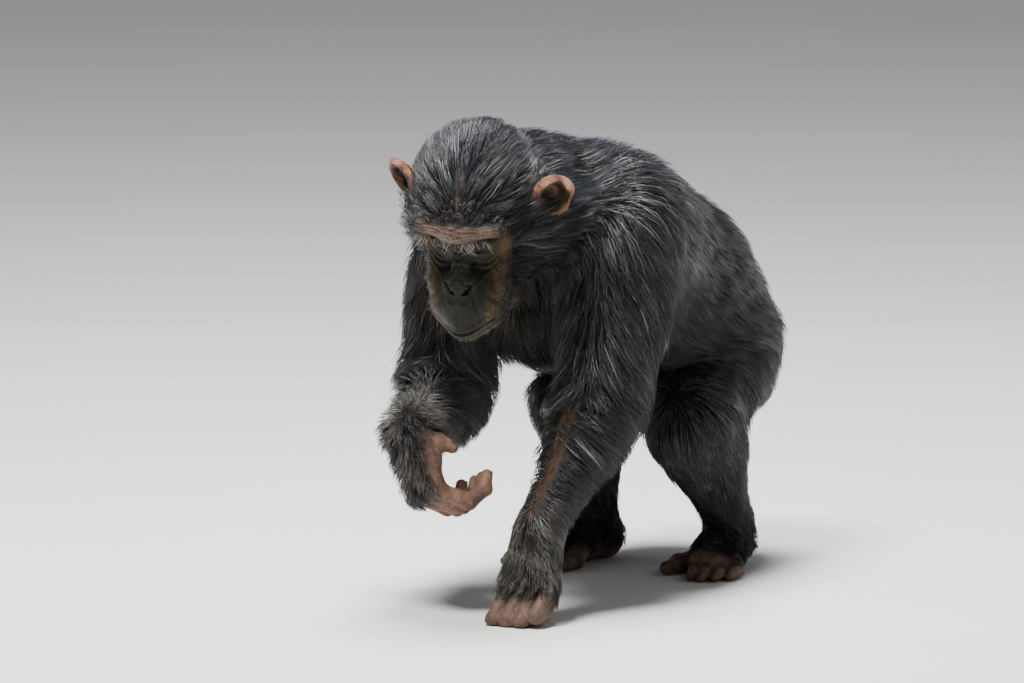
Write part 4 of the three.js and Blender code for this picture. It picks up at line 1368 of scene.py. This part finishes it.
def hair_values(p, weights):
    """Length, depth share, extra depth, width and density of the coat at each point."""
    table = np.array([REGION_HAIR[region_kind(n)][1:] for n in NAMES], float)
    long, share, extra, wide, density = (weights @ table).T
    q = to_head(p)
    x, y, z = q.T
    side = np.abs(x)
    head = weight_of(weights, "head")
    # Short at the hairline, longest at the back of the head and under the jaw.
    short = 0.24 + 0.76 * (1 - ramp(y, 18, 74))
    short = np.maximum(short, 0.9 * ramp(side, 44, 60) * (1 - ramp(y, 30, 64)))
    short = np.maximum(short, 0.75 * (1 - ramp(z, -40, -10)) * (1 - ramp(y, 60, 96)))
    long *= 1 - head * (1 - short)
    share *= 1 - head * 0.55 * (1 - short)
    # The middle of the forehead is thinly haired.
    parting = head * hump(x, 5.0) * band(seen_height(q), -36, -24, 34, 46) * (z > CROWN)
    density *= 1 - 0.88 * parting
    long *= 1 - 0.45 * parting
    # Whiskers stand out at the sides of the face, and hair covers the ears' feet.
    whisker = head * ramp(side, 44, 58) * (1 - ramp(y, 40, 60)) * (1 - ramp(z, 6, 34))
    ear_foot = np.exp(-(((x - 68) / 16) ** 2 + ((y - 12) / 20) ** 2 + ((z - 6) / 20) ** 2)) * head
    long *= (1 + 0.8 * whisker) * (1 + 0.5 * ear_foot)
    extra += 15 * whisker + 3.0 * head * ramp(y, 30, 60) + 24 * ear_foot
    share += 0.4 * ear_foot
    # Nothing grows on the bare face, digits and ears.
    density *= 1 - np.clip(face_share(q) * 1.1, 0, 1) * head
    density *= 1 - np.clip(digits_share(p) * 1.6, 0, 1)
    for ear in EARS.values():
        density *= 1 - ear.bare(p) * ramp(HEAD(p), 0, 5)
    for name in SIDES:
        strip = forearm_strip(p, name)
        density *= 1 - 0.66 * strip
        # Longer at the back of the elbow, standing out round the wrist.
        elbow = JOINTS[name]["elbow"]
        fringe = (1 - ramp(norms(p - elbow - vec(0, 35, 0)), 30, 110)) * ramp(p[:, 1] - elbow[1], -8, 22)
        near = near_wrist(p, name)
        shorter, lifted = WRIST_HAIR[name]
        long *= (1 - 0.5 * strip) * (1 + 0.75 * fringe) * (1 - near * shorter)
        extra += near * lifted
    # The rump's hair stands out, and the belly's is thin.
    share *= 1 + 0.18 * ramp(p[:, 1], 270, 370)
    belly = (1 - ramp(p[:, 2], 235, 300)) * ramp(p[:, 1], -20, 60) * weight_of(weights, "trunk")
    density *= 1 - 0.3 * belly
    long *= 1 - 0.25 * belly
    return long, share, extra, wide, np.clip(density, 0, None)


def coat_tints(p, weights, settings, rng):
    """Each tuft's colour at its root's place."""
    count = len(p)
    q = to_head(p)
    head, trunk = weight_of(weights, "head"), weight_of(weights, "trunk")
    colour = np.tile(vec(*settings.black), (count, 1)) * rng.uniform(0.45, 1.3, count)[:, None]
    # Silvery hairs, most on the back and on the outer sides of the arms: some are grey hairs at random, and
    # the rise in their number and brightness higher up is a painted highlight where the light from above
    # falls.
    upper = ramp(p[:, 2], 380, 520)
    for name in SIDES:
        arm = 0.6 * weight_of(weights, "upper_arm_" + name), 0.5 * weight_of(weights, "forearm_" + name)
        upper = np.max([upper, *arm], axis=0)
    grey_and_highlit = rng.random(count) < 0.04 + 0.26 * upper
    light = rng.uniform(0.35, 1.3, count) * (1 + 1.1 * upper)
    colour[grey_and_highlit] = colour[grey_and_highlit] * 0.4 + vec(0.050, 0.049, 0.052) * light[grey_and_highlit, None]
    # Lower on the trunk darker: painted shade away from the light above.
    colour *= 1 - 0.5 * ((1 - upper) * trunk)[:, None]
    # Darkest along the hairline.
    beyond_line = ramp(seen_height(q) - HAIRLINE, 3, 18)
    colour *= 1 - 0.62 * (head * (1 - beyond_line) * (q[:, 2] > 30))[:, None]
    # Brown low on the flanks, partly brown hairs and partly a painted warm reflection from the ground below;
    # grey at the wrists; a painted cool sheen on the crown.
    low = 1 - ramp(p[:, 2], 250, 430)
    brown_and_reflected_warmth = np.clip(0.20 + 0.34 * low * trunk + 0.20 * wander(p, 60, 11), 0, 1)
    colour = paint(colour, settings.brown, np.minimum(brown_and_reflected_warmth * rng.uniform(0, 1.6, count), 0.9))
    for hand in HAND.values():
        near = 1 - ramp(norms(p - hand.place(0, -10, 22)), 30, 92)
        colour = paint(colour, settings.grey, np.minimum(near * rng.uniform(0.1, 1.0, count), 0.85))
    # Painted cool highlight on the crown, where the light from above falls.
    top = head * ramp(q[:, 2], 40, 75) * beyond_line * 0.35
    return paint(colour, (0.030, 0.033, 0.042), top * rng.uniform(0, 1, count))


BAKE_TILES = {
    "trunk": (0.01, 0.01, 0.60, 0.60),
    "neck": (0.62, 0.01, 0.99, 0.20),
    "head": (0.62, 0.22, 0.99, 0.60),
    "upper_arm_left": (0.01, 0.62, 0.20, 0.80),
    "upper_arm_right": (0.22, 0.62, 0.40, 0.80),
    "forearm_left": (0.42, 0.62, 0.60, 0.80),
    "forearm_right": (0.62, 0.62, 0.80, 0.80),
    "hand_left": (0.82, 0.62, 0.99, 0.70),
    "hand_right": (0.82, 0.72, 0.99, 0.80),
    "thigh_left": (0.01, 0.82, 0.20, 0.99),
    "thigh_right": (0.22, 0.82, 0.40, 0.99),
    "shank_left": (0.42, 0.82, 0.60, 0.99),
    "shank_right": (0.62, 0.82, 0.80, 0.99),
    "foot_left": (0.82, 0.82, 0.99, 0.90),
    "foot_right": (0.82, 0.91, 0.99, 0.99),
}
REGION_LINES = {"trunk": ((0, -60, 390), (0, 365, 290)), "neck": ((0, 20, 448), (-4, -160, 500))}
REGION_LINES["head"] = (from_head(vec(0, 90, -40)), from_head(vec(0, -70, 30)))
for _name in SIDES:
    _j = JOINTS[_name]
    REGION_LINES["upper_arm_" + _name] = (_j["shoulder"], _j["elbow"])
    REGION_LINES["forearm_" + _name] = (_j["elbow"], _j["wrist"])
    REGION_LINES["hand_" + _name] = (_j["wrist"], HAND[_name].place(0, 0, PALM))
    REGION_LINES["thigh_" + _name] = (_j["hip"], _j["knee"])
    REGION_LINES["shank_" + _name] = (_j["knee"], _j["ankle"])
    REGION_LINES["foot_" + _name] = (FOOT[_name].place(0, 30, 20), FOOT[_name].place(10, -100, 20))


def unwrap(p, region):
    """Each root's place on the skin unrolled by region: turn about the region's line, way along it."""
    uv = np.zeros((len(p), 2))
    for i, name in enumerate(NAMES):
        chosen = region == i
        a, b = (vec(*end) for end in REGION_LINES[name])
        axis = b - a
        steep = abs(axis[2]) >= 0.8 * np.linalg.norm(axis)
        side = unit(np.cross(axis, vec(0, 1, 0) if steep else UP))
        over = unit(np.cross(side, axis))
        r = p[chosen] - a
        t = np.clip(along_of(p[chosen], a, b) * 0.8 + 0.1, 0, 1)
        turn = np.arctan2(r @ over, r @ side) / (2 * math.pi) + 0.5
        u0, v0, u1, v1 = BAKE_TILES[name]
        uv[chosen] = np.stack((u0 + (u1 - u0) * turn, v0 + (v1 - v0) * t), 1)
    return uv


def scatter_roots(skin, count, seed):
    """Points on the skin, spread by area and by the coat's density."""
    mesh = skin.data
    mesh.calc_loop_triangles()
    corners = np.empty(len(mesh.loop_triangles) * 3, np.int32)
    mesh.loop_triangles.foreach_get("vertices", corners)
    corners = corners.reshape(-1, 3)
    points = millimetres(read_points(mesh))
    a, b, c = (points[corners[:, i]] for i in range(3))
    area = np.linalg.norm(np.cross(b - a, c - a), axis=1) / 2
    centres = (a + b + c) / 3
    density = in_chunks(lambda part: hair_values(part, region_weights(part))[-1], centres)
    rng = np.random.default_rng(seed)
    chance = area * density
    chosen = rng.choice(len(area), count, p=chance / chance.sum())
    u, v = rng.random(count), rng.random(count)
    fold = u + v > 1
    u[fold], v[fold] = 1 - u[fold], 1 - v[fold]
    return a[chosen] + u[:, None] * (b - a)[chosen] + v[:, None] * (c - a)[chosen]


def lie_at(p, weights):
    """The way the hair lies, mixed from the regions that reach a point."""
    way = np.zeros_like(p)
    for i, name in enumerate(NAMES):
        chosen = weights[:, i] > 0.02
        if chosen.any():
            lie = REGION_HAIR[region_kind(name)][0](p[chosen], -1 if name.endswith("right") else 1)
            way[chosen] += unit(lie) * weights[chosen, i, None]
    return unit(way)


def square_to(way, n):
    """The part of a way that lies square to a normal, at length one."""
    return unit(way - (way * n).sum(1, keepdims=True) * n)


def settle(p, share, extra):
    """Puts points at their depth over the body, and gives the body's normals there."""
    here, slope = slope_of(lambda r: body_distance(r, share), p, 1.2)
    n = unit(slope)
    return p - n * np.clip(here - extra, -12, 12)[:, None], n


# A hair's stations: shares of its length along the body, and of its depth over it.
STEPS = (0.0, 0.30, 0.64, 1.0)
RISE = (0.0, 0.42, 0.80, 1.0)
ROOT_DEPTH = 1.2
LOWEST_HAIR = 1.0
BAKE_PATCH = 0.003


def grow(roots, weights, long, share, extra, sway):
    """Runs each hair over the body along its lie, rising to its own depth. Gives stations and normals."""
    p, n = settle(roots, 0 * share, 0 * extra)
    stations, root_normals = [p - n * ROOT_DEPTH], n
    for k in range(1, len(STEPS)):
        stride = (STEPS[k] - STEPS[k - 1]) * long
        for half in (0.5, 1.0):
            p = p + square_to(lie_at(p, weights) + sway, n) * (stride / 2)[:, None]
            rise = along(RISE[k - 1], RISE[k], half)
            p, n = settle(p, share * rise, extra * rise)
        stations.append(p)
    return np.stack(stations, 1), root_normals


def clump(stations, roots, rng, guides_share, strength, hold):
    """Draws hairs towards the path of the nearest of a few guides, most at the tips."""
    count = len(roots)
    guides = rng.choice(count, max(int(count * guides_share), 1), replace=False)
    tree = kdtree.KDTree(len(guides))
    for i, g in enumerate(guides):
        tree.insert(roots[g], i)
    tree.balance()
    nearest = np.array([guides[tree.find(root)[1]] for root in roots])
    pull = (rng.uniform(*strength, count) * hold)[:, None]
    for k, s in enumerate(STEPS):
        stations[:, k] += (stations[nearest, k] - stations[:, k]) * pull * s**1.3
    return nearest


def tuft_mesh(name, stations, normals, widths, uv, tints):
    """Joined three-sided tapered tufts, closed at root and tip."""
    count, stops = stations.shape[:2]
    profile = {4: (0.75, 1.0, 0.72), 3: (0.8, 0.9)}[stops]
    ways = np.gradient(stations, axis=1)
    rings = []
    for k in range(stops - 1):
        t = unit(ways[:, k])
        b = unit(np.cross(t, normals))
        c = np.cross(b, t)
        for corner in range(3):
            angle = 2 * math.pi * corner / 3 + math.pi / 2
            offset = b * math.cos(angle) + c * math.sin(angle) * 0.8
            rings.append(stations[:, k] + offset * (widths * profile[k] / 2)[:, None])
    rings.append(stations[:, -1])
    each = len(rings)
    points = np.stack(rings, 1).reshape(-1, 3)
    faces = [(0, 2, 1)]
    for k in range(0, each - 4, 3):
        for a, b in ((k, k + 1), (k + 1, k + 2), (k + 2, k)):
            faces += [(a, b, b + 3), (a, b + 3, a + 3)]
    faces += [(each - 4, each - 3, each - 1), (each - 3, each - 2, each - 1), (each - 2, each - 4, each - 1)]
    starts = np.arange(count, dtype=np.int32) * each
    triangles = (np.array(faces, np.int32)[None] + starts[:, None, None]).reshape(-1, 3)
    mesh = bpy.data.meshes.new(name)
    mesh.vertices.add(len(points))
    mesh.vertices.foreach_set("co", metres(points).astype(np.float32).ravel())
    mesh.loops.add(triangles.size)
    mesh.loops.foreach_set("vertex_index", triangles.ravel())
    mesh.polygons.add(len(triangles))
    mesh.polygons.foreach_set("loop_start", np.arange(0, triangles.size, 3, dtype=np.int32))
    mesh.update(calc_edges=True)
    mesh.polygons.foreach_set("use_smooth", np.ones(len(triangles), bool))
    # Each tuft has a small patch of the bake, at its root's place on the unrolled skin.
    spread = [(c / 2 - 0.5, k / (stops - 1) - 0.5) for k in range(stops - 1) for c in range(3)] + [(0.0, 0.5)]
    patches = uv[:, None] + np.array(spread)[None] * BAKE_PATCH
    layer = mesh.uv_layers.new(name="OFBake")
    layer.data.foreach_set("uv", patches.reshape(-1, 2)[triangles.ravel()].astype(np.float32).ravel())
    # Darker at the root and lighter at the tip.
    fade = np.array([shade for shade in (0.75, 1.0, 1.15)[: stops - 1] for _ in range(3)] + [1.3])
    add_tint(mesh, "tint", np.clip((tints[:, None] * fade[None, :, None]).reshape(-1, 3), 0, 1))
    mesh.validate()
    obj = bpy.data.objects.new(name, mesh)
    bpy.context.collection.objects.link(obj)
    return obj


PIECE_TUFTS = 12000
# The coat's roots are scattered once, for all of its pieces. Hairs drift together, are loose one by
# one, and a few of them stray.
ROOTS = []
ROOT_SEED = 17
DRIFT = 0.16
UNEVEN = 0.09
LOOSE = 0.22
STRAYS = 0.05


def build_coat(groups, seed):
    """Grows the coat of the named regions, in pieces of a size that stays light."""
    settings = bpy.context.scene.chimp_coat_settings
    if not ROOTS:
        skin = bpy.data.objects.get("skin")
        if skin is None:
            raise RuntimeError("the coat grows on the skin, so the skin comes first")
        roots = scatter_roots(skin, settings.tufts, ROOT_SEED)
        weights = in_chunks(region_weights, roots)
        ROOTS.extend((roots, weights, weights.argmax(1)))
    chosen = np.isin(ROOTS[2], [NAMES.index(n) for n in groups])
    roots, weights, region = (values[chosen] for values in ROOTS)
    rng = np.random.default_rng(seed)
    count = len(roots)
    long, share, extra, wide, _ = in_chunks(hair_values, roots, weights)
    long = long * np.clip(rng.normal(0.92, 0.16, count), 0.5, 1.3)
    share = share * rng.uniform(0.45, 1.05, count)
    sway = np.stack([wander(roots, 75, seed + i) for i in range(3)], 1) * DRIFT
    sway += rng.normal(0, UNEVEN, (count, 3))
    wrists = np.max([near_wrist(roots, name) for name in SIDES], axis=0)
    sway += wrists[:, None] * rng.normal(0, LOOSE, (count, 3))
    stray = rng.random(count) < STRAYS
    sway[stray] += rng.normal(0, LOOSE, (stray.sum(), 3))
    share[stray] *= 1.12
    extra = extra * rng.uniform(0.5, 1.1, count)
    stations, normals = in_chunks(grow, roots, weights, long, share, extra, sway)
    # Drawn into wide locks first, then into narrow ones that share a shade.
    clump(stations, roots, rng, 0.010, (0.10, 0.38), 1 - wrists)
    nearest = clump(stations, roots, rng, 0.045, (0.25, 0.75), 1 - 0.6 * wrists)
    stations[:, :, 2] = np.maximum(stations[:, :, 2], LOWEST_HAIR)
    widths = settings.width * 1000 * wide * rng.uniform(0.75, 1.2, count)
    tints = coat_tints(roots, weights, settings, rng)
    tints *= np.clip(np.exp(rng.normal(-0.05, 0.6, count)), 0, 2.4)[nearest, None]
    uv = unwrap(roots, region)
    # Pieces are cut region by region, from the front of the animal to its tail end.
    order = np.argsort(region * 1000 + (roots[:, 1] / 10), kind="stable")
    parts = max(math.ceil(count / PIECE_TUFTS), 1)
    for n, part in enumerate(np.array_split(order, parts), 1):
        shares = (each[part] for each in (stations, normals, widths, uv, tints))
        piece = tuft_mesh(f"coat_{groups[0]}_{n}", *shares)
        piece.data.materials.append(hair())
        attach(piece, "root")


class OBJECT_OT_chimp_trunk_coat(bpy.types.Operator):
    """Grow the coat of the trunk"""

    bl_idname = "object.chimp_trunk_coat"
    bl_label = "Coat of the trunk"

    def execute(self, context):
        build_coat(["trunk"], 21)
        return {"FINISHED"}


class OBJECT_OT_chimp_head_coat(bpy.types.Operator):
    """Grow the coat of the head and neck"""

    bl_idname = "object.chimp_head_coat"
    bl_label = "Coat of the head and neck"

    def execute(self, context):
        build_coat(["head"], 31)
        build_coat(["neck"], 35)
        return {"FINISHED"}


class OBJECT_OT_chimp_arm_coat(bpy.types.Operator):
    """Grow the coat of the arms and hands"""

    bl_idname = "object.chimp_arm_coat"
    bl_label = "Coat of the arms"

    def execute(self, context):
        for name, seed in (("left", 41), ("right", 45)):
            build_coat(["upper_arm_" + name, "forearm_" + name, "hand_" + name], seed)
        return {"FINISHED"}


class OBJECT_OT_chimp_leg_coat(bpy.types.Operator):
    """Grow the coat of the legs and feet"""

    bl_idname = "object.chimp_leg_coat"
    bl_label = "Coat of the legs"

    def execute(self, context):
        for name, seed in (("left", 51), ("right", 55)):
            build_coat(["thigh_" + name, "shank_" + name, "foot_" + name], seed)
        return {"FINISHED"}


BRISTLES = 48
CHIN_HAIRS = 4200


class OBJECT_OT_chimp_face_hair(bpy.types.Operator):
    """Grow the pale brow bristles and the short hairs of chin and lips"""

    bl_idname = "object.chimp_face_hair"
    bl_label = "Brow bristles and chin hairs"

    def execute(self, context):
        settings = context.scene.chimp_coat_settings
        rng = np.random.default_rng(61)
        for piece in (self.bristles(rng, settings), self.short_hairs(rng, settings)):
            piece.data.materials.append(hair())
            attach(piece, "root")
        return {"FINISHED"}

    def spots(self, roots):
        return unwrap(roots, np.full(len(roots), NAMES.index("head")))

    def bristles(self, rng, settings):
        """Single pale hairs along the brow ridge, curling down and out."""
        paths, widths, tints = [], [], []
        for n in range(BRISTLES):
            # Most grow at the outer end of the right brow and to the left of the middle.
            x = rng.normal(*((45, 6), (-15, 9), (0, 30), (4, 30))[n % 4])
            x = float(np.clip(x, -52, 53))
            root = vec(x, 92 - 0.0042 * x * x, 41 + rng.uniform(-3, 3) - 0.0017 * x * x)
            out = unit(vec(0.012 * x + rng.normal(0, 0.35), 0.75, -0.55 + rng.normal(0, 0.3)))
            long = rng.uniform(8, 22) * (1.25 if x > 30 else 1.0)
            curl = vec(rng.normal(0, 0.5), -0.30, -0.55) * long
            bends = ((0.35, 0), (0.62, 0.25), (0.8, 0.7))
            paths.append([root - out * 3] + [root + out * long * a + curl * b for a, b in bends])
            widths.append(rng.uniform(0.45, 0.66))
            tints.append(vec(*settings.pale) * rng.uniform(0.5, 1.2))
        paths = from_head(np.array(paths))
        normals = np.tile(head_way(UP), (BRISTLES, 1))
        return tuft_mesh(
            "brow_bristles", paths, normals, np.array(widths), self.spots(paths[:, 0]), np.array(tints)
        )

    def short_hairs(self, rng, settings):
        """Short hairs over the chin, the edges of the lips and the rim of the face."""
        mesh = bpy.data.objects["skin"].data
        centres = millimetres(face_centres(mesh))
        area = np.empty(len(mesh.polygons))
        mesh.polygons.foreach_get("area", area)
        normals = np.empty(len(mesh.polygons) * 3)
        mesh.polygons.foreach_get("normal", normals)
        q = to_head(centres)
        x, y, z = q.T
        near = (HEAD(centres) < 4) & (norms(q) < HEAD_REACH) & (y > 45)
        chin = (1 - ramp(z - mouth_height(x), -14, -7)) * ramp(y, 50, 80)
        edge = ramp(np.abs(x), 30, 44) * ramp(y, 46, 60) * (1 - ramp(z, -20, 4))
        chance = area * near * (chin + edge * 0.55)
        picked = rng.choice(len(area), CHIN_HAIRS, p=chance / chance.sum())
        n = normals.reshape(-1, 3)[picked]
        roots = centres[picked] + rng.normal(0, 0.6, (CHIN_HAIRS, 3))
        x, _, z = to_head(roots).T
        under = 1 - ramp(z, -92, -78)
        lie = head_way(np.stack((0.02 * x, -0.4 - 0.2 * under, -1 + 0.5 * under), 1))
        lie = unit(lie - (lie * n).sum(1, keepdims=True) * n + rng.normal(0, 0.18, (CHIN_HAIRS, 3)))
        long = (rng.uniform(4.5, 9, CHIN_HAIRS) * (1 + 0.5 * under))[:, None]
        rise = rng.uniform(0.25, 0.55, CHIN_HAIRS)[:, None]
        middle = roots + (lie * 0.55 + n * rise * 0.8) * long * 0.5
        stations = np.stack((roots - n * 0.6, middle, roots + (lie + n * rise) * long), 1)
        share = rng.uniform(0.1, 1.1, CHIN_HAIRS) * (0.18 + 0.82 * ramp(-z, 60, 84))
        dark = np.tile(vec(0.03, 0.026, 0.022), (CHIN_HAIRS, 1))
        tints = paint(dark, settings.pale, share, 0.8)
        widths = rng.uniform(0.3, 0.48, CHIN_HAIRS)
        return tuft_mesh("chin_hairs", stations, n, widths, self.spots(roots), tints)


class OBJECT_OT_chimp_stage(bpy.types.Operator):
    """Set the floor, the studio light and the camera"""

    bl_idname = "object.chimp_stage"
    bl_label = "Stage"

    def execute(self, context):
        settings = context.scene.chimp_stage_settings
        clear_selection()
        bpy.ops.mesh.primitive_plane_add(size=60, location=(0, 0, -0.0008))
        floor = context.object
        floor.name = "floor"
        floor.data.materials.append(floor_material(vec(*settings.floor)))
        world = context.scene.world or bpy.data.worlds.new("studio")
        context.scene.world = world
        world.use_nodes = True
        sky = world.node_tree.nodes["Background"]
        sky.inputs["Color"].default_value = (0.93, 0.94, 0.96, 1)
        sky.inputs["Strength"].default_value = 0.25
        for name, place, size, power, colour in (
            ("key", (-0.2, -1.8, 3.6), 1.2, 270, (1.0, 0.985, 0.95)),
            ("top", (-0.2, 0.3, 3.5), 1.3, 270, (0.92, 0.96, 1.0)),
            ("side", (3.2, -0.6, 2.2), 1.4, 12, (1.0, 0.98, 0.94)),
        ):
            bpy.ops.object.light_add(type="AREA", location=place)
            light = context.object
            light.name = name
            light.data.shape, light.data.size = "DISK", size
            light.data.energy, light.data.color = power, colour
            self.aim(light, Vector((0, -0.05, 0.35)) - Vector(place))
        az, el = settings.azimuth, settings.elevation
        way = Vector((math.sin(az) * math.cos(el), -math.cos(az) * math.cos(el), math.sin(el)))
        target = Vector(metres(LOOK_AT))
        bpy.ops.object.camera_add(location=target + way * settings.distance)
        camera = context.object
        camera.name = "camera"
        self.aim(camera, -way)
        camera.data.lens, camera.data.sensor_width = settings.lens, 36
        camera.data.clip_end = 60
        context.scene.camera = camera
        return {"FINISHED"}

    def aim(self, obj, way):
        obj.rotation_euler = way.to_track_quat("-Z", "Y").to_euler()


PIECE_OPERATORS = (
    OBJECT_OT_chimp_skin,
    OBJECT_OT_chimp_eyes,
    OBJECT_OT_chimp_nails,
    OBJECT_OT_chimp_trunk_coat,
    OBJECT_OT_chimp_head_coat,
    OBJECT_OT_chimp_arm_coat,
    OBJECT_OT_chimp_leg_coat,
    OBJECT_OT_chimp_face_hair,
    OBJECT_OT_chimp_stage,
)


class VIEW3D_PT_chimp(bpy.types.Panel):
    """Pieces of the chimpanzee and their settings"""

    bl_label = "Chimpanzee"
    bl_idname = "VIEW3D_PT_chimp"
    bl_space_type = "VIEW_3D"
    bl_region_type = "UI"
    bl_category = "Chimpanzee"

    def draw(self, context):
        for operator in PIECE_OPERATORS:
            self.layout.operator(operator.bl_idname)
        for group in SETTINGS:
            box = self.layout.box()
            settings = getattr(context.scene, group)
            for name in settings.__annotations__:
                box.prop(settings, name)


CLASSES = (*SETTINGS.values(), *PIECE_OPERATORS, VIEW3D_PT_chimp)


def register():
    for cls in CLASSES:
        bpy.utils.register_class(cls)
    for name, group in SETTINGS.items():
        setattr(bpy.types.Scene, name, PointerProperty(type=group))


def unregister():
    for name in SETTINGS:
        delattr(bpy.types.Scene, name)
    for cls in reversed(CLASSES):
        bpy.utils.unregister_class(cls)


def main():
    register()
    bpy.ops.object.chimp_stage()
    bpy.ops.object.chimp_skin()
    bpy.ops.object.chimp_eyes()
    bpy.ops.object.chimp_nails()
    bpy.ops.object.chimp_trunk_coat()
    bpy.ops.object.chimp_head_coat()
    bpy.ops.object.chimp_arm_coat()
    bpy.ops.object.chimp_leg_coat()
    bpy.ops.object.chimp_face_hair()


if __name__ == "__main__":
    main()
